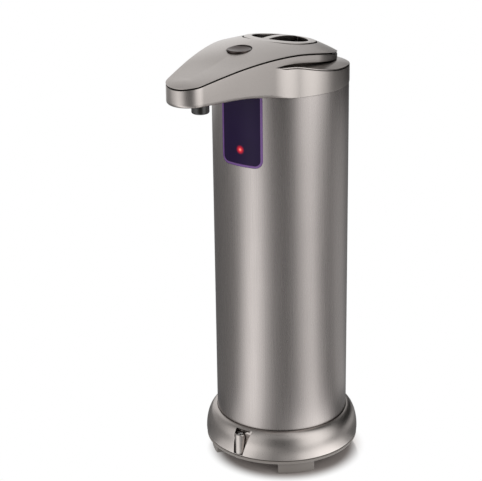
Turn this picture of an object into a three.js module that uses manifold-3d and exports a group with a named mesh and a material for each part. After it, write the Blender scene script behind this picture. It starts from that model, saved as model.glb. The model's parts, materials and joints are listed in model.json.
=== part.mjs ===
import * as THREE from 'three';
import Module from 'manifold-3d';
import { mergeVertices } from 'three/addons/utils/BufferGeometryUtils.js';

// A touch-free soap dispenser: a steel column on a rounded foot, with a beak-shaped head.
// Millimetres, Z up, spout towards -Y. The floor is Z = 0 and the origin is under the box's centre.
// "Forward" is the distance from the column's axis towards the spout.

const wasm = await Module();
wasm.setup();

// Driving dimensions of the column, foot and head
const tubeRadius = 32;
const tubeWall = 0.8;
const baseOverhang = 5.6;
const baseRadius = tubeRadius + baseOverhang;
const baseTop = 21.7;
const collarBottom = 187.5;
const headHeight = 22;
const noseReach = 78;
const noseRadius = 10.1;
const deckReach = 5.6;
const hoodRadius = tubeRadius - deckReach;

// Clearances
const touchGap = 0.3;
const slipGap = 0.2;
const shadowGap = 0.5;
const overrun = 5;

// Facets round a full turn, by size of piece, and steps along the head's lines
const columnSteps = 48;
const pieceSteps = 24;
const pinSteps = 12;
const lineSteps = 16;

// Head: plan, walls and lines
const collarRadius = tubeRadius + slipGap;
const noseCentre = noseReach - noseRadius;
const throatRadius = 28;
const throatSink = 0.05;
const casingWall = 3.6;
const casingFloor = 2.2;
const slotDepth = 2;
const rimWidth = 0.7;
const deckThickness = 1.8;
const deckCeiling = 1.8;
const skirtDepth = 7;
const skirtRadius = tubeRadius - tubeWall - slipGap;
const skirtWall = 1.6;
const roofThickness = 2;
const hoodRim = 2;
const domePower = 1.7;
const domeRings = 6;
const noseSteps = 10;
const rearSteps = 22;
const sideSteps = 7;

// Side-view lines of the head: places are shares of noseReach, heights of headHeight over the collar's bottom
const seamPlaceShares = [-0.34, -0.13, 0.05, 0.23, 0.41, 0.6, 0.78, 1.01];
const seamHeightShares = [0.5, 0.64, 0.755, 0.832, 0.84, 0.795, 0.71, 0.575];
const crestPlaceShares = [0, 0.22, 0.43, 0.65, 0.87];
const crestHeightShares = [1.01, 1.015, 0.94, 0.8, 0.7];
const deckPlaceShares = [-0.42, -0.26, -0.13, 0, 0.1, 0.18, 0.26, 0.34, 0.4];
const deckHeightShares = [0.29, 0.36, 0.415, 0.44, 0.485, 0.545, 0.615, 0.645, 0.68];
const bandPlaceShares = [-0.42, -0.26, -0.13, 0, 0.1, 0.18, 0.26, 0.34, 0.4];
const bandHeightShares = [0.345, 0.455, 0.54, 0.595, 0.625, 0.655, 0.678, 0.685, 0.68];
const bellyPlaceShares = [0.2, 0.31, 0.46, 0.57, 0.65, 0.73, 0.82, 0.91, 1.02];
const bellyHeightShares = [0, 0, 0.09, 0.15, 0.175, 0.19, 0.2, 0.21, 0.21];

// Filler cap and neck, on an axis that leans back from the column's
const capLean = THREE.MathUtils.degToRad(7.9);
const capSeatDrop = 2.2;
const capSeatHeight = collarBottom + headHeight - capSeatDrop;
const capRadius = 16.7;
const capCrown = 2.4;
const capLip = 2.2;
const capCupRadius = 14.8;
const capCupDepth = 11;
const capPlugRadius = 10.8;
const capPlugDepth = 17;
const pocketRadius = 13.7;
const pocketDepth = 8.5;
const barWidth = 3.4;
const sealSection = 1.8;
const sealBite = 1;
const neckWall = 1.4;

// Button on the hood, and its switch
const buttonForward = 31.4;
const buttonRadius = 5.6;
const buttonRise = 0.2;
const buttonDish = 0.7;
const buttonSkirt = 1.6;
const buttonTravel = 0.8;
const stemLength = 1.8;
const stemRadius = 1.5;
const switchSize = 6;
const switchHeight = 3.4;
const boardThickness = 1.6;
const headBoardLength = 15;

// Nozzle under the arm
const nozzleForward = 60.5;
const nozzleRadius = 4;
const nozzleBottom = 185.9;
const nozzleFlange = 1.2;
const nozzleStub = 7;
const nozzleBore = 1.5;
const nozzleRounding = 1;
const valveRadius = 2.4;
const valveHeight = 3;

// Window in the column
const windowHalfWidth = 11.4;
const windowBottom = 153.8;
const windowCorner = 3;
const bezelWidth = 1.2;
const windowThickness = 1.2;
const ledRise = 8;
const ledHeight = windowBottom + ledRise;
const ledRadius = 1.5;
const eyeRadius = 2.5;
const eyeDrop = 13.5;
const eyeHeight = collarBottom - eyeDrop;
const eyeSpread = 3.6;
const eyeLength = 5;
const eyeSetback = 0.9;
const sensorBoardWidth = 18;
const sensorBoardRise = 1.7;
const sensorBoardDrop = 3.5;
const sensorBoardBottom = windowBottom + sensorBoardRise;
const sensorBoardTop = collarBottom - sensorBoardDrop;

// Foot: ring, cover, pads and the screw at the front
const coverBottom = 6.2;
const coverTop = 7.8;
const coverSkirtHeight = 2.4;
const coverSkirtWall = 1.6;
const ringBottom = coverTop + touchGap;
const ringWaist = 9.5;
const ringWall = 2.2;
const ringSpigotTop = 26;
const ringSpigotWall = 1.5;
const ledgeDrop = 0.8;
const gasketHeight = 0.4;
const padInset = 2.6;
const padOuterRadius = baseRadius - padInset;
const padWidth = 5;
const padAngle = THREE.MathUtils.degToRad(47);
const padSweep = THREE.MathUtils.degToRad(30);
const padSteps = 6;
const recessTopHalf = 3.9;
const recessBottomHalf = 2.8;
const recessDepth = 4.8;
const bossRadius = 2.6;
const bossTop = 18.8;
const bossRoot = 8.6;
const screwHeadRadius = 1.7;
const screwHeadHeight = 1.2;
const screwRadius = 1;
const driveSlot = 0.6;
const driveDepth = 0.6;
const ovoloSteps = 6;

// Tank
const tankGap = 2.4;
const tankRadius = tubeRadius - tubeWall - tankGap;
const tankWall = 1.5;
const tankBottom = 58.3;
const tankTop = 176;
const tankFlat = 17.5;
const tankFlatBottom = 150;
const hoseRadius = 2.3;
const hoseBore = 1.4;
const hoseSideShares = [0.97, 0.82, 0.6, 0.36, 0.12];
const hoseForwardShares = [0.29, 0.335, 0.43, 0.58, 0.73];
const hoseHeightShares = [-0.14, 0.12, 0.3, 0.32, 0.4];
const grooveRadius = 3.9;
const grooveInset = 2.4;
const grooveReach = tankRadius - grooveInset;
const grooveAngle = THREE.MathUtils.degToRad(50);
const lidThickness = 1.6;
const nippleRadius = 1.8;
const nippleBore = 1;
const nippleLength = 4;

// Gearbox, pump and batteries
const plateThickness = 2;
const plateRadius = skirtRadius - slipGap;
const motorRadius = 10;
const motorLength = 14.6;
const motorShaft = 1;
const gearWidth = 4.5;
const gearModule = 0.8;
const pinionTeeth = 10;
const gearTeeth = 24;
const pumpModule = 0.9;
const pumpTeeth = 14;
const pumpGearWidth = 5.4;
const pumpWall = 1.9;
const pumpFloor = 1.8;
const pumpCoverThickness = 2.2;
const pumpShaft = 1.5;
const shaftPlaceX = 6;
const shaftPlaceY = -16.6;
const pumpLine = THREE.MathUtils.degToRad(45);
const postRadius = 2;
const postSpread = 6;
const portOffset = 3.4;
const fixingOffset = 7.3;
const fixingRadius = 1;
const fixingHead = 1.5;
const fixingHeadHeight = 1.2;
const pressureAngle = THREE.MathUtils.degToRad(25);
const addendum = 0.8;
const dedendum = 1.1;
const toothBacklashShare = 0.06;
const batteryRadius = 5.25;
const batteryLength = 43.5;
const batteryNub = 1;
const batteryNubRadius = 1.9;
const batteryPitch = 11;
const batteryCount = 4;
const batteryRowY = 14;
const batteryBottom = 10.8;
const holderWall = 1.1;
const holderTop = tankBottom - touchGap;
const contactThickness = 0.5;
const controlBoardY = 4.4;
const controlBoardHalf = 19;
const controlBoardTop = 50;
const cableThickness = 0.9;
const cableWidth = 7;
const cableBottom = 49;
const cableTop = 157;
const cableAngle = THREE.MathUtils.degToRad(-62);

// Materials
const nickel = { color: 0xa8a19b, metalness: 0.75, roughness: 0.38 };
const blackGloss = { color: 0x14120f, metalness: 0.1, roughness: 0.2 };
const darkPlastic = { color: 0x2b2926, metalness: 0, roughness: 0.55 };
const violetGlass = { color: 0x241c33, metalness: 0, roughness: 0.12 };
const purpleRim = { color: 0x6e4b8c, metalness: 0, roughness: 0.3 };
const clearPlastic = { color: 0xd8dcd8, metalness: 0, roughness: 0.3 };
const greyRubber = { color: 0x3a3836, metalness: 0, roughness: 0.8 };
const whitePlastic = { color: 0xe6e4de, metalness: 0, roughness: 0.45 };
const steel = { color: 0xb8b8b6, metalness: 0.9, roughness: 0.3 };
const brass = { color: 0xc29a4a, metalness: 0.9, roughness: 0.35 };
const boardGreen = { color: 0x1f5a38, metalness: 0, roughness: 0.5 };
const batteryBlue = { color: 0x3a5f8f, metalness: 0.3, roughness: 0.4 };
const ledRed = { color: 0xe6463c, metalness: 0, roughness: 0.25 };
const footGrey = { color: 0x77706b, metalness: 0, roughness: 0.7 };

// Drops the triangles that welding has closed up, and turns a mesh that is inside out
function weld(geometry) {
  const bare = geometry.clone();
  bare.deleteAttribute('normal');
  bare.deleteAttribute('uv');
  const merged = mergeVertices(bare);
  const places = merged.attributes.position.array;
  const corner = (i) => new THREE.Vector3().fromArray(places, 3 * i);
  const kept = [];
  let volume = 0;
  for (let i = 0; i < merged.index.count; i += 3) {
    const [a, b, c] = [0, 1, 2].map((k) => merged.index.getX(i + k));
    if (a === b || b === c || c === a) continue;
    kept.push([a, b, c]);
    volume += corner(a).dot(corner(b).cross(corner(c)));
  }
  if (volume < 0) kept.forEach((face) => face.reverse());
  return { places: Float32Array.from(places), faces: Uint32Array.from(kept.flat()) };
}

function solidOf(geometry) {
  const { places, faces } = weld(geometry);
  return new wasm.Manifold(new wasm.Mesh({ numProp: 3, vertProperties: places, triVerts: faces }));
}

function geometryOf(solid) {
  const mesh = solid.getMesh();
  const geometry = new THREE.BufferGeometry();
  geometry.setAttribute('position', new THREE.BufferAttribute(mesh.vertProperties, 3));
  geometry.setIndex(new THREE.BufferAttribute(mesh.triVerts, 1));
  geometry.computeVertexNormals();
  return geometry;
}

// A solid turned round the Z axis from a profile of [radius, height] points;
// a ring's profile closes on itself
function turned(profile, steps = columnSteps) {
  const points = profile.map(([radius, height]) => new THREE.Vector2(radius, height));
  const onAxis = profile[0][0] === 0 && profile[profile.length - 1][0] === 0;
  if (!onAxis) points.push(points[0].clone());
  return solidOf(new THREE.LatheGeometry(points, steps).rotateX(Math.PI / 2));
}

function ring(innerRadius, outerRadius, low, high, steps = columnSteps) {
  return turned([[innerRadius, low], [outerRadius, low], [outerRadius, high], [innerRadius, high]], steps);
}

function rod(radius, low, high, steps = columnSteps) {
  return turned([[0, low], [radius, low], [radius, high], [0, high]], steps);
}

function prism(outline, low, high) {
  const shape = new THREE.Shape(outline.map(([x, y]) => new THREE.Vector2(x, y)));
  const geometry = new THREE.ExtrudeGeometry(shape, { depth: high - low, bevelEnabled: false });
  return solidOf(geometry.translate(0, 0, low));
}

function block(x0, x1, y0, y1, z0, z1) {
  return prism([[x0, y0], [x1, y0], [x1, y1], [x0, y1]], z0, z1);
}

// An outline of [y, z] points drawn across the part along X
function across(outline, halfWidth) {
  const shape = new THREE.Shape(outline.map(([y, z]) => new THREE.Vector2(y, z)));
  const geometry = new THREE.ExtrudeGeometry(shape, { depth: 2 * halfWidth, bevelEnabled: false });
  const turn = new THREE.Matrix4().makeBasis(
    new THREE.Vector3(0, 1, 0),
    new THREE.Vector3(0, 0, 1),
    new THREE.Vector3(1, 0, 0),
  );
  return solidOf(geometry.applyMatrix4(turn).translate(-halfWidth, 0, 0));
}

// A smooth line through chosen places, as a function of the distance forward
function lineThrough(placeShares, heightShares) {
  const places = placeShares.map((share) => share * noseReach);
  const heights = heightShares.map((share) => collarBottom + share * headHeight);
  const last = places.length - 1;
  const slopes = places.map((place, i) => {
    const before = Math.max(i - 1, 0);
    const after = Math.min(i + 1, last);
    return (heights[after] - heights[before]) / (places[after] - places[before]);
  });
  return (forward) => {
    if (forward <= places[0]) return heights[0] + slopes[0] * (forward - places[0]);
    if (forward >= places[last]) return heights[last] + slopes[last] * (forward - places[last]);
    const i = places.findIndex((place, k) => k < last && forward <= places[k + 1]);
    const span = places[i + 1] - places[i];
    const t = (forward - places[i]) / span;
    const rise = heights[i + 1] - heights[i];
    const ease = t * t * (3 - 2 * t);
    const lead = t * (1 - t) * (1 - t) * slopes[i] * span;
    const trail = t * t * (1 - t) * slopes[i + 1] * span;
    return heights[i] + ease * rise + lead - trail;
  };
}

const seamLine = lineThrough(seamPlaceShares, seamHeightShares);
const crestLine = lineThrough(crestPlaceShares, crestHeightShares);
const deckLine = lineThrough(deckPlaceShares, deckHeightShares);
const bandLine = lineThrough(bandPlaceShares, bandHeightShares);
const bellyLine = lineThrough(bellyPlaceShares, bellyHeightShares);
const bellyStart = bellyPlaceShares[0] * noseReach;
const notchTip = bandPlaceShares[bandPlaceShares.length - 1] * noseReach;

// Points [y, z] along a head line, from one forward distance to another
function sampled(line, from, to, lift = 0) {
  const points = [];
  for (let i = 0; i <= lineSteps; i += 1) {
    const forward = from + ((to - from) * i) / lineSteps;
    points.push([-forward, line(forward) + lift]);
  }
  return points;
}

const farBack = -(collarRadius + overrun);
const farFront = noseReach + overrun;
const headSide = collarRadius + overrun;
const wayUp = collarBottom + 2 * headHeight;
const wayDown = collarBottom - headHeight;

function aboveLine(line, lift = 0, from = farBack, to = farFront) {
  return across([...sampled(line, from, to, lift), [-to, wayUp], [-from, wayUp]], headSide);
}

function belowLine(line, lift = 0, from = farBack, to = farFront) {
  return across([...sampled(line, from, to, lift), [-to, wayDown], [-from, wayDown]], headSide);
}

// Plan of the arm and hood: two circles joined by tangents, as samples with the spine point behind each one
const noseTaper = Math.asin((hoodRadius - noseRadius) / noseCentre);

function armLoop(inset = 0) {
  const rear = hoodRadius - inset;
  const nose = noseRadius - inset;
  const turn = Math.PI / 2 - noseTaper;
  const samples = [];
  const arc = (spine, radius, from, to, steps) => {
    for (let i = 0; i <= steps; i += 1) {
      const angle = from + ((to - from) * i) / steps;
      samples.push({ spine, forward: spine + radius * Math.cos(angle), side: radius * Math.sin(angle) });
    }
  };
  const side = (fromShare, toShare, sign) => {
    for (let i = 1; i < sideSteps; i += 1) {
      const share = fromShare + ((toShare - fromShare) * i) / sideSteps;
      const radius = rear + (nose - rear) * share;
      const spine = noseCentre * share;
      samples.push({
        spine,
        forward: spine + radius * Math.sin(noseTaper),
        side: sign * radius * Math.cos(noseTaper),
      });
    }
  };
  arc(noseCentre, nose, -turn, turn, noseSteps);
  side(1, 0, 1);
  arc(0, rear, turn, 2 * Math.PI - turn, rearSteps);
  side(0, 1, -1);
  return samples;
}

const armPlan = (inset = 0) => armLoop(inset).map(({ forward, side }) => [side, -forward]);

// Plan of the collar: its circle, flowing into the arm's walls through a hollow throat on each side
function collarPlan() {
  const wall = hoodRadius - throatSink;
  const wallAngle = Math.PI / 2 - noseTaper;
  const reach = collarRadius + throatRadius;
  const throatAngle = wallAngle - Math.acos((wall + throatRadius) / reach);
  const throatSteps = 7;
  const half = [];
  for (let i = 0; i <= throatSteps; i += 1) {
    const angle = wallAngle + Math.PI + ((throatAngle - wallAngle) * i) / throatSteps;
    half.push([
      reach * Math.cos(throatAngle) + throatRadius * Math.cos(angle),
      reach * Math.sin(throatAngle) + throatRadius * Math.sin(angle),
    ]);
  }
  const rearTurn = Math.PI - throatAngle;
  const rearHalfSteps = columnSteps / 2;
  for (let i = 1; i < rearHalfSteps; i += 1) {
    const angle = throatAngle + (rearTurn * i) / rearHalfSteps;
    half.push([collarRadius * Math.cos(angle), collarRadius * Math.sin(angle)]);
  }
  const mirrored = half.map(([forward, side]) => [forward, -side]).reverse();
  const whole = [...half, [-collarRadius, 0], ...mirrored];
  return whole.map(([forward, side]) => [side, -forward]);
}

// The collar ring, the arm's walls and the band behind them, as one moulding
function headCasing() {
  const arm = prism(armPlan(), collarBottom, wayUp);
  const collar = prism(collarPlan(), collarBottom, wayUp).subtract(aboveLine(deckLine));
  const seamCut = aboveLine(seamLine, -shadowGap / 2);
  const bellyCut = belowLine(bellyLine, 0, bellyStart, farFront);
  let casing = arm.add(collar).subtract(seamCut).subtract(bellyCut);

  // the notch under the band, and the seat for the deck panel
  const notchOutline = [
    ...sampled(deckLine, farBack, notchTip),
    ...sampled(bandLine, farBack, notchTip).reverse().slice(1),
  ];
  const notchCore = prism(armPlan(slotDepth), collarBottom, wayUp);
  casing = casing.subtract(across(notchOutline, headSide).subtract(notchCore));
  casing = casing.subtract(deckRoom(rimWidth, deckThickness + slipGap, overrun));

  // the inside: a channel along the arm, a hollow collar and the skirt that enters the column
  const channelFloor = aboveLine(bellyLine, casingFloor, bellyStart, farFront);
  const channelRear = block(-headSide, headSide, -bellyStart, headSide, collarBottom, wayUp);
  const channelPlan = prism(armPlan(casingWall), wayDown, wayUp);
  const channel = channelPlan.intersect(channelFloor.add(channelRear));
  const skirtInner = skirtRadius - skirtWall;
  const under = rod(skirtInner, wayDown, wayUp);
  const hollow = under.intersect(belowLine(deckLine, -(deckThickness + slipGap + deckCeiling)));
  const skirtLow = collarBottom - skirtDepth;
  const skirt = ring(skirtInner - overrun, skirtRadius, skirtLow, collarBottom + casingFloor);
  casing = casing.add(skirt.subtract(windowBlock(-slipGap))).subtract(channel).subtract(hollow);
  const nozzleHole = rod(nozzleRadius + slipGap, wayDown, wayUp, pinSteps).translate([0, -nozzleForward, 0]);
  return casing.subtract(nozzleHole);
}

// The space of the crescent deck panel: inside the collar's rim, outside the band's core, below the deck line
function deckRoom(edge, depth, rise) {
  const outer = rod(collarRadius - edge, wayDown, wayUp);
  const core = prism(armPlan(slotDepth), wayDown, wayUp);
  const rear = block(-headSide, headSide, -bellyStart, headSide, wayDown, wayUp);
  const slice = aboveLine(deckLine, -depth).subtract(aboveLine(deckLine, rise));
  return outer.intersect(rear).intersect(slice).subtract(core);
}

function collarDeck() {
  const lowered = 0.1;
  const outer = deckRoom(rimWidth + slipGap, deckThickness, -lowered);
  const core = prism(armPlan(slotDepth - touchGap), wayDown, wayUp);
  const rear = block(-headSide, headSide, -bellyStart + touchGap, headSide, wayDown, wayUp);
  return outer.subtract(core).intersect(rear);
}

// A dome over the arm's plan: its edge follows the seam and its spine follows the crest
function dome(inset, drop, lift) {
  const samples = armLoop(inset);
  const levels = [];
  for (let j = 0; j <= domeRings; j += 1) {
    const share = 1 - j / domeRings;
    levels.push(samples.map(({ spine, forward, side }) => {
      const edge = seamLine(forward) + lift;
      const crest = crestLine(spine) - drop;
      const height = edge + (crest - edge) * (1 - share ** domePower);
      return new THREE.Vector3(share * side, -(spine + share * (forward - spine)), height);
    }));
  }
  return levels;
}

function domeSolid(levels, floorLevel) {
  const places = [];
  const quad = (a, b, c, d) => [a, b, c, a, c, d].forEach((point) => places.push(...point.toArray()));
  const skin = (rows, turn) => {
    for (let j = 0; j + 1 < rows.length; j += 1) {
      for (let i = 0; i < rows[j].length; i += 1) {
        const k = (i + 1) % rows[j].length;
        if (turn) quad(rows[j][k], rows[j][i], rows[j + 1][i], rows[j + 1][k]);
        else quad(rows[j][i], rows[j][k], rows[j + 1][k], rows[j + 1][i]);
      }
    }
  };
  skin(levels, false);
  skin(floorLevel, true);
  skin([levels[0], floorLevel[0]], true);
  const geometry = new THREE.BufferGeometry();
  geometry.setAttribute('position', new THREE.Float32BufferAttribute(places, 3));
  return solidOf(geometry);
}

function topCover() {
  const lift = shadowGap / 2;
  const shell = domeSolid(dome(0, 0, lift), dome(hoodRim, roofThickness, lift));
  const capHole = onCapAxis(rod(capRadius + shadowGap, -headHeight, headHeight, pieceSteps));
  const buttonHole = rod(buttonRadius + touchGap, wayDown, wayUp, pieceSteps);
  return shell.subtract(capHole).subtract(buttonHole.translate([0, -buttonForward, 0]));
}

// Moves a solid made about the cap's seat onto the cap's leaning axis
function onCapAxis(solid) {
  return solid.rotate([THREE.MathUtils.radToDeg(-capLean), 0, 0]).translate([0, 0, capSeatHeight]);
}

// Refill cap: crowned disc, cup with two finger pockets each side of a bar, and a plug with a seal groove
function fillerCap() {
  const crown = [];
  const crownSteps = 4;
  for (let i = 0; i <= crownSteps; i += 1) {
    const share = i / crownSteps;
    crown.push([capRadius * share, capCrown * (1 - share * share)]);
  }
  const sealTop = -(capCupDepth + sealSection);
  const sealBottom = sealTop - sealSection;
  const body = turned([
    ...crown,
    [capRadius, -capLip],
    [capCupRadius, -capLip],
    [capCupRadius, -capCupDepth],
    [capPlugRadius, -capCupDepth],
    [capPlugRadius, sealTop],
    [capPlugRadius - sealBite, sealTop],
    [capPlugRadius - sealBite, sealBottom],
    [capPlugRadius, sealBottom],
    [capPlugRadius, -capPlugDepth],
    [0, -capPlugDepth],
  ], pieceSteps);
  const pockets = rod(pocketRadius, -pocketDepth, headHeight, pieceSteps);
  const bar = block(-barWidth / 2, barWidth / 2, -capRadius, capRadius, -capCupDepth, headHeight);
  return onCapAxis(body.subtract(pockets.subtract(bar)));
}

function capSeal() {
  const inner = capPlugRadius - sealBite + slipGap;
  const outer = capPlugRadius + slipGap;
  const top = -(capCupDepth + sealSection) - slipGap;
  return onCapAxis(ring(inner, outer, top - sealSection + 2 * slipGap, top, pieceSteps));
}

// Plan of the tank: round, flat at the front above the sensor's floor, with a groove for the hose
const groovePlace = [grooveReach * Math.sin(grooveAngle), -grooveReach * Math.cos(grooveAngle)];

function tankBody(inset, low, high, flatLow) {
  const round = rod(tankRadius - inset, low, high);
  const flatRear = -tankFlat + inset;
  const flat = block(-tankRadius, tankRadius, -tankRadius - overrun, flatRear, flatLow, high + overrun);
  const groove = rod(grooveRadius + inset, low - overrun, high + overrun, pinSteps);
  return round.subtract(flat).subtract(groove.translate([...groovePlace, 0]));
}

const inletPlace = portPlace(-portOffset);
const outletPlace = portPlace(portOffset);

function tank() {
  const shell = tankBody(0, tankBottom, tankTop, tankFlatBottom);
  const room = tankBody(tankWall, tankBottom + tankWall, tankTop + overrun, tankFlatBottom - tankWall);
  const nipple = rod(nippleRadius, tankBottom - nippleLength, tankBottom + tankWall / 2, pinSteps);
  const boreLow = tankBottom - nippleLength - overrun;
  const bore = rod(nippleBore, boreLow, tankBottom + tankWall + overrun, pinSteps);
  const place = [...inletPlace, 0];
  return shell.subtract(room).add(nipple.translate(place)).subtract(bore.translate(place));
}

const lidBottom = tankTop + gasketHeight + 2 * slipGap;

function tankGasket() {
  const low = tankTop + slipGap;
  const outer = tankBody(slipGap, low, low + gasketHeight, low - overrun);
  const inner = tankBody(tankWall, low - overrun, low + gasketHeight + overrun, low - 2 * overrun);
  return outer.subtract(inner);
}

// The tank's lid carries the filler neck, which leans back to meet the cap
function tankLid() {
  const plate = tankBody(0, lidBottom, lidBottom + lidThickness, lidBottom - overrun);
  const neckTop = -(capLip + touchGap);
  const ledge = -(capCupDepth + touchGap);
  const upperBore = capCupRadius + touchGap;
  const lowerBore = capPlugRadius + 2 * slipGap + touchGap / 2;
  const foot = -(capSeatHeight - lidBottom) / Math.cos(capLean);
  const outside = turned([
    [0, neckTop],
    [upperBore + neckWall, neckTop],
    [upperBore + neckWall, ledge - neckWall],
    [lowerBore + neckWall, ledge - neckWall],
    [lowerBore + neckWall, foot - overrun],
    [0, foot - overrun],
  ], pieceSteps);
  const bore = turned([
    [0, neckTop + overrun],
    [upperBore, neckTop + overrun],
    [upperBore, ledge],
    [lowerBore, ledge],
    [lowerBore, foot - 2 * overrun],
    [0, foot - 2 * overrun],
  ], pieceSteps);
  const below = block(-tankRadius, tankRadius, -tankRadius, tankRadius, lidBottom - headHeight, lidBottom);
  return plate.add(onCapAxis(outside).subtract(below)).subtract(onCapAxis(bore));
}

// The steel column, with its window opening; its top follows the underside of the arm
const bellyOver = aboveLine(bellyLine, -touchGap, bellyStart, farFront);

function underHead(solid) {
  const overCollar = block(-headSide, headSide, -bellyStart, headSide, collarBottom - touchGap, wayUp);
  return solid.subtract(bellyOver).subtract(overCollar);
}

// The window's outline seen from the front, as a block that runs out through the column's wall
function windowBlock(inset) {
  const half = windowHalfWidth - inset;
  const low = windowBottom + inset;
  const corner = windowCorner - inset;
  const cornerSteps = 4;
  const outline = [];
  for (let i = 0; i <= cornerSteps; i += 1) {
    const angle = (Math.PI / 2) * (i / cornerSteps);
    outline.push([half - corner + corner * Math.sin(angle), low + corner - corner * Math.cos(angle)]);
  }
  outline.push([half, wayUp]);
  const mirrored = outline.map(([x, z]) => [-x, z]).reverse();
  const geometry = new THREE.ExtrudeGeometry(
    new THREE.Shape([...outline, ...mirrored].map(([x, z]) => new THREE.Vector2(x, z))),
    { depth: tubeRadius + overrun, bevelEnabled: false },
  );
  return solidOf(geometry.rotateX(Math.PI / 2));
}

const tubeTop = bellyLine(tubeRadius) + overrun;

function bodyTube() {
  const wall = ring(tubeRadius - tubeWall, tubeRadius, baseTop, tubeTop);
  return underHead(wall.subtract(windowBlock(0)));
}

function windowBezel() {
  const wall = ring(tubeRadius - tubeWall, tubeRadius + slipGap / 2, windowBottom - overrun, tubeTop);
  return underHead(wall.intersect(windowBlock(slipGap).subtract(windowBlock(bezelWidth))));
}

function sensorWindow() {
  const outside = tubeRadius - slipGap / 2;
  const wall = ring(outside - windowThickness, outside, windowBottom - overrun, tubeTop);
  return underHead(wall.intersect(windowBlock(bezelWidth + slipGap)));
}

// Sensor parts behind the window
const eyeBack = tubeRadius - slipGap / 2 - windowThickness - eyeSetback - eyeLength;

function facingOut(radius, length, x, z) {
  return rod(radius, 0, length, pinSteps).rotate([90, 0, 0]).translate([x, -eyeBack, z]);
}

function sensorBoard() {
  const half = sensorBoardWidth / 2;
  const front = -(eyeBack - touchGap);
  return block(-half, half, front, front + boardThickness, sensorBoardBottom, sensorBoardTop);
}

// The foot ring: ovolo outside, a spigot for the column, and the recess with the screw boss at the front
function ovolo(inset) {
  const points = [];
  const shoulder = tubeRadius + touchGap;
  for (let i = 0; i <= ovoloSteps; i += 1) {
    const angle = (Math.PI / 2) * (1 - i / ovoloSteps);
    points.push([
      shoulder + (baseRadius - shoulder) * Math.cos(angle) - inset,
      ringWaist + (baseTop - touchGap / 2 - ringWaist) * Math.sin(angle) - inset,
    ]);
  }
  return points;
}

const spigotInner = skirtRadius - ringSpigotWall;

function baseRing() {
  const ledge = baseTop - ledgeDrop;
  const shoulder = tubeRadius + touchGap;
  const body = turned([
    [spigotInner, ringBottom],
    [spigotInner, ringSpigotTop],
    [skirtRadius, ringSpigotTop],
    [skirtRadius, ledge],
    [shoulder, ledge],
    ...ovolo(0),
    [baseRadius - slipGap, ringBottom],
  ]);
  const hollow = turned([
    [skirtRadius, ringBottom - overrun],
    [skirtRadius, ledge - ringWall],
    ...ovolo(ringWall).filter(([radius, height]) => radius > skirtRadius && height < ledge - ringWall),
    [baseRadius - ringWall, ringBottom - overrun],
  ]);
  const rearWall = baseRadius - recessDepth;
  const backing = block(
    -recessTopHalf - ringWall,
    recessTopHalf + ringWall,
    -baseRadius,
    -skirtRadius + ringWall,
    ringBottom - 2 * overrun,
    baseTop,
  );
  const recess = prism([
    [-recessTopHalf, baseTop + touchGap],
    [-recessBottomHalf, bossRoot],
    [recessBottomHalf, bossRoot],
    [recessTopHalf, baseTop + touchGap],
  ], rearWall, baseRadius + overrun).rotate([90, 0, 0]);
  const boss = rod(bossRadius, ringBottom, bossTop, pinSteps).translate([0, -screwReach, 0]);
  const screwHole = rod(screwRadius + slipGap, 0, baseTop, pinSteps).translate([0, -screwReach, 0]);
  return body.subtract(hollow.subtract(backing)).subtract(recess).add(boss).subtract(screwHole);
}

const screwReach = baseRadius - bossRadius - slipGap;

function baseGasket() {
  const low = baseTop - ledgeDrop + slipGap;
  return ring(skirtRadius + slipGap, tubeRadius, low, low + gasketHeight);
}

// The shelf on the cover and the contact strip on it, under the batteries
const trayTop = batteryBottom - contactThickness - 2 * touchGap;

function batteryTray(low, high) {
  const half = (batteryCount * batteryPitch) / 2 - batteryRadius / 2;
  return block(-half, half, batteryRowY - batteryRadius / 2, batteryRowY + batteryRadius / 2, low, high);
}

// The cover under the foot, with its nut tab below the screw boss
function bottomCover() {
  const skirtOuter = spigotInner - touchGap;
  const plate = rod(baseRadius - slipGap, coverBottom, coverTop);
  const skirtTop = coverTop + coverSkirtHeight;
  const skirt = ring(skirtOuter - coverSkirtWall, skirtOuter, coverBottom + touchGap, skirtTop);
  const shelf = batteryTray(coverTop - touchGap, trayTop);
  const tab = rod(bossRadius + slipGap, coverBottom, coverTop, pinSteps).translate([0, -screwReach, 0]);
  const hole = rod(screwRadius + slipGap, 0, baseTop, pinSteps).translate([0, -screwReach, 0]);
  return plate.add(skirt).add(shelf).add(tab).subtract(hole);
}

// A pan-head screw, seated at a height, with its tip below
function screw(headRadius, headRise, shankRadius, tip, seat) {
  return turned([
    [0, tip],
    [shankRadius, tip],
    [shankRadius, seat],
    [headRadius, seat],
    [headRadius, seat + headRise / 2],
    [headRadius - headRise / 2, seat + headRise],
    [0, seat + headRise],
  ], pinSteps);
}

// The foot's screw, with a cross recess in its head
function coverScrew() {
  const seat = bossTop + slipGap;
  const driveFloor = seat + screwHeadHeight - driveDepth;
  const reach = screwHeadRadius - driveSlot;
  const across1 = block(-reach, reach, -driveSlot / 2, driveSlot / 2, driveFloor, seat + overrun);
  const across2 = block(-driveSlot / 2, driveSlot / 2, -reach, reach, driveFloor, seat + overrun);
  return screw(screwHeadRadius, screwHeadHeight, screwRadius, coverBottom + touchGap, seat)
    .subtract(across1.add(across2))
    .translate([0, -screwReach, 0]);
}

function footPad(angle) {
  const outline = [];
  const rim = (radius, from, to) => {
    for (let i = 0; i <= padSteps; i += 1) {
      const turn = from + ((to - from) * i) / padSteps;
      outline.push([radius * Math.sin(turn), -radius * Math.cos(turn)]);
    }
  };
  rim(padOuterRadius, angle - padSweep / 2, angle + padSweep / 2);
  rim(padOuterRadius - padWidth, angle + padSweep / 2, angle - padSweep / 2);
  return prism(outline, 0, coverBottom);
}

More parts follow.
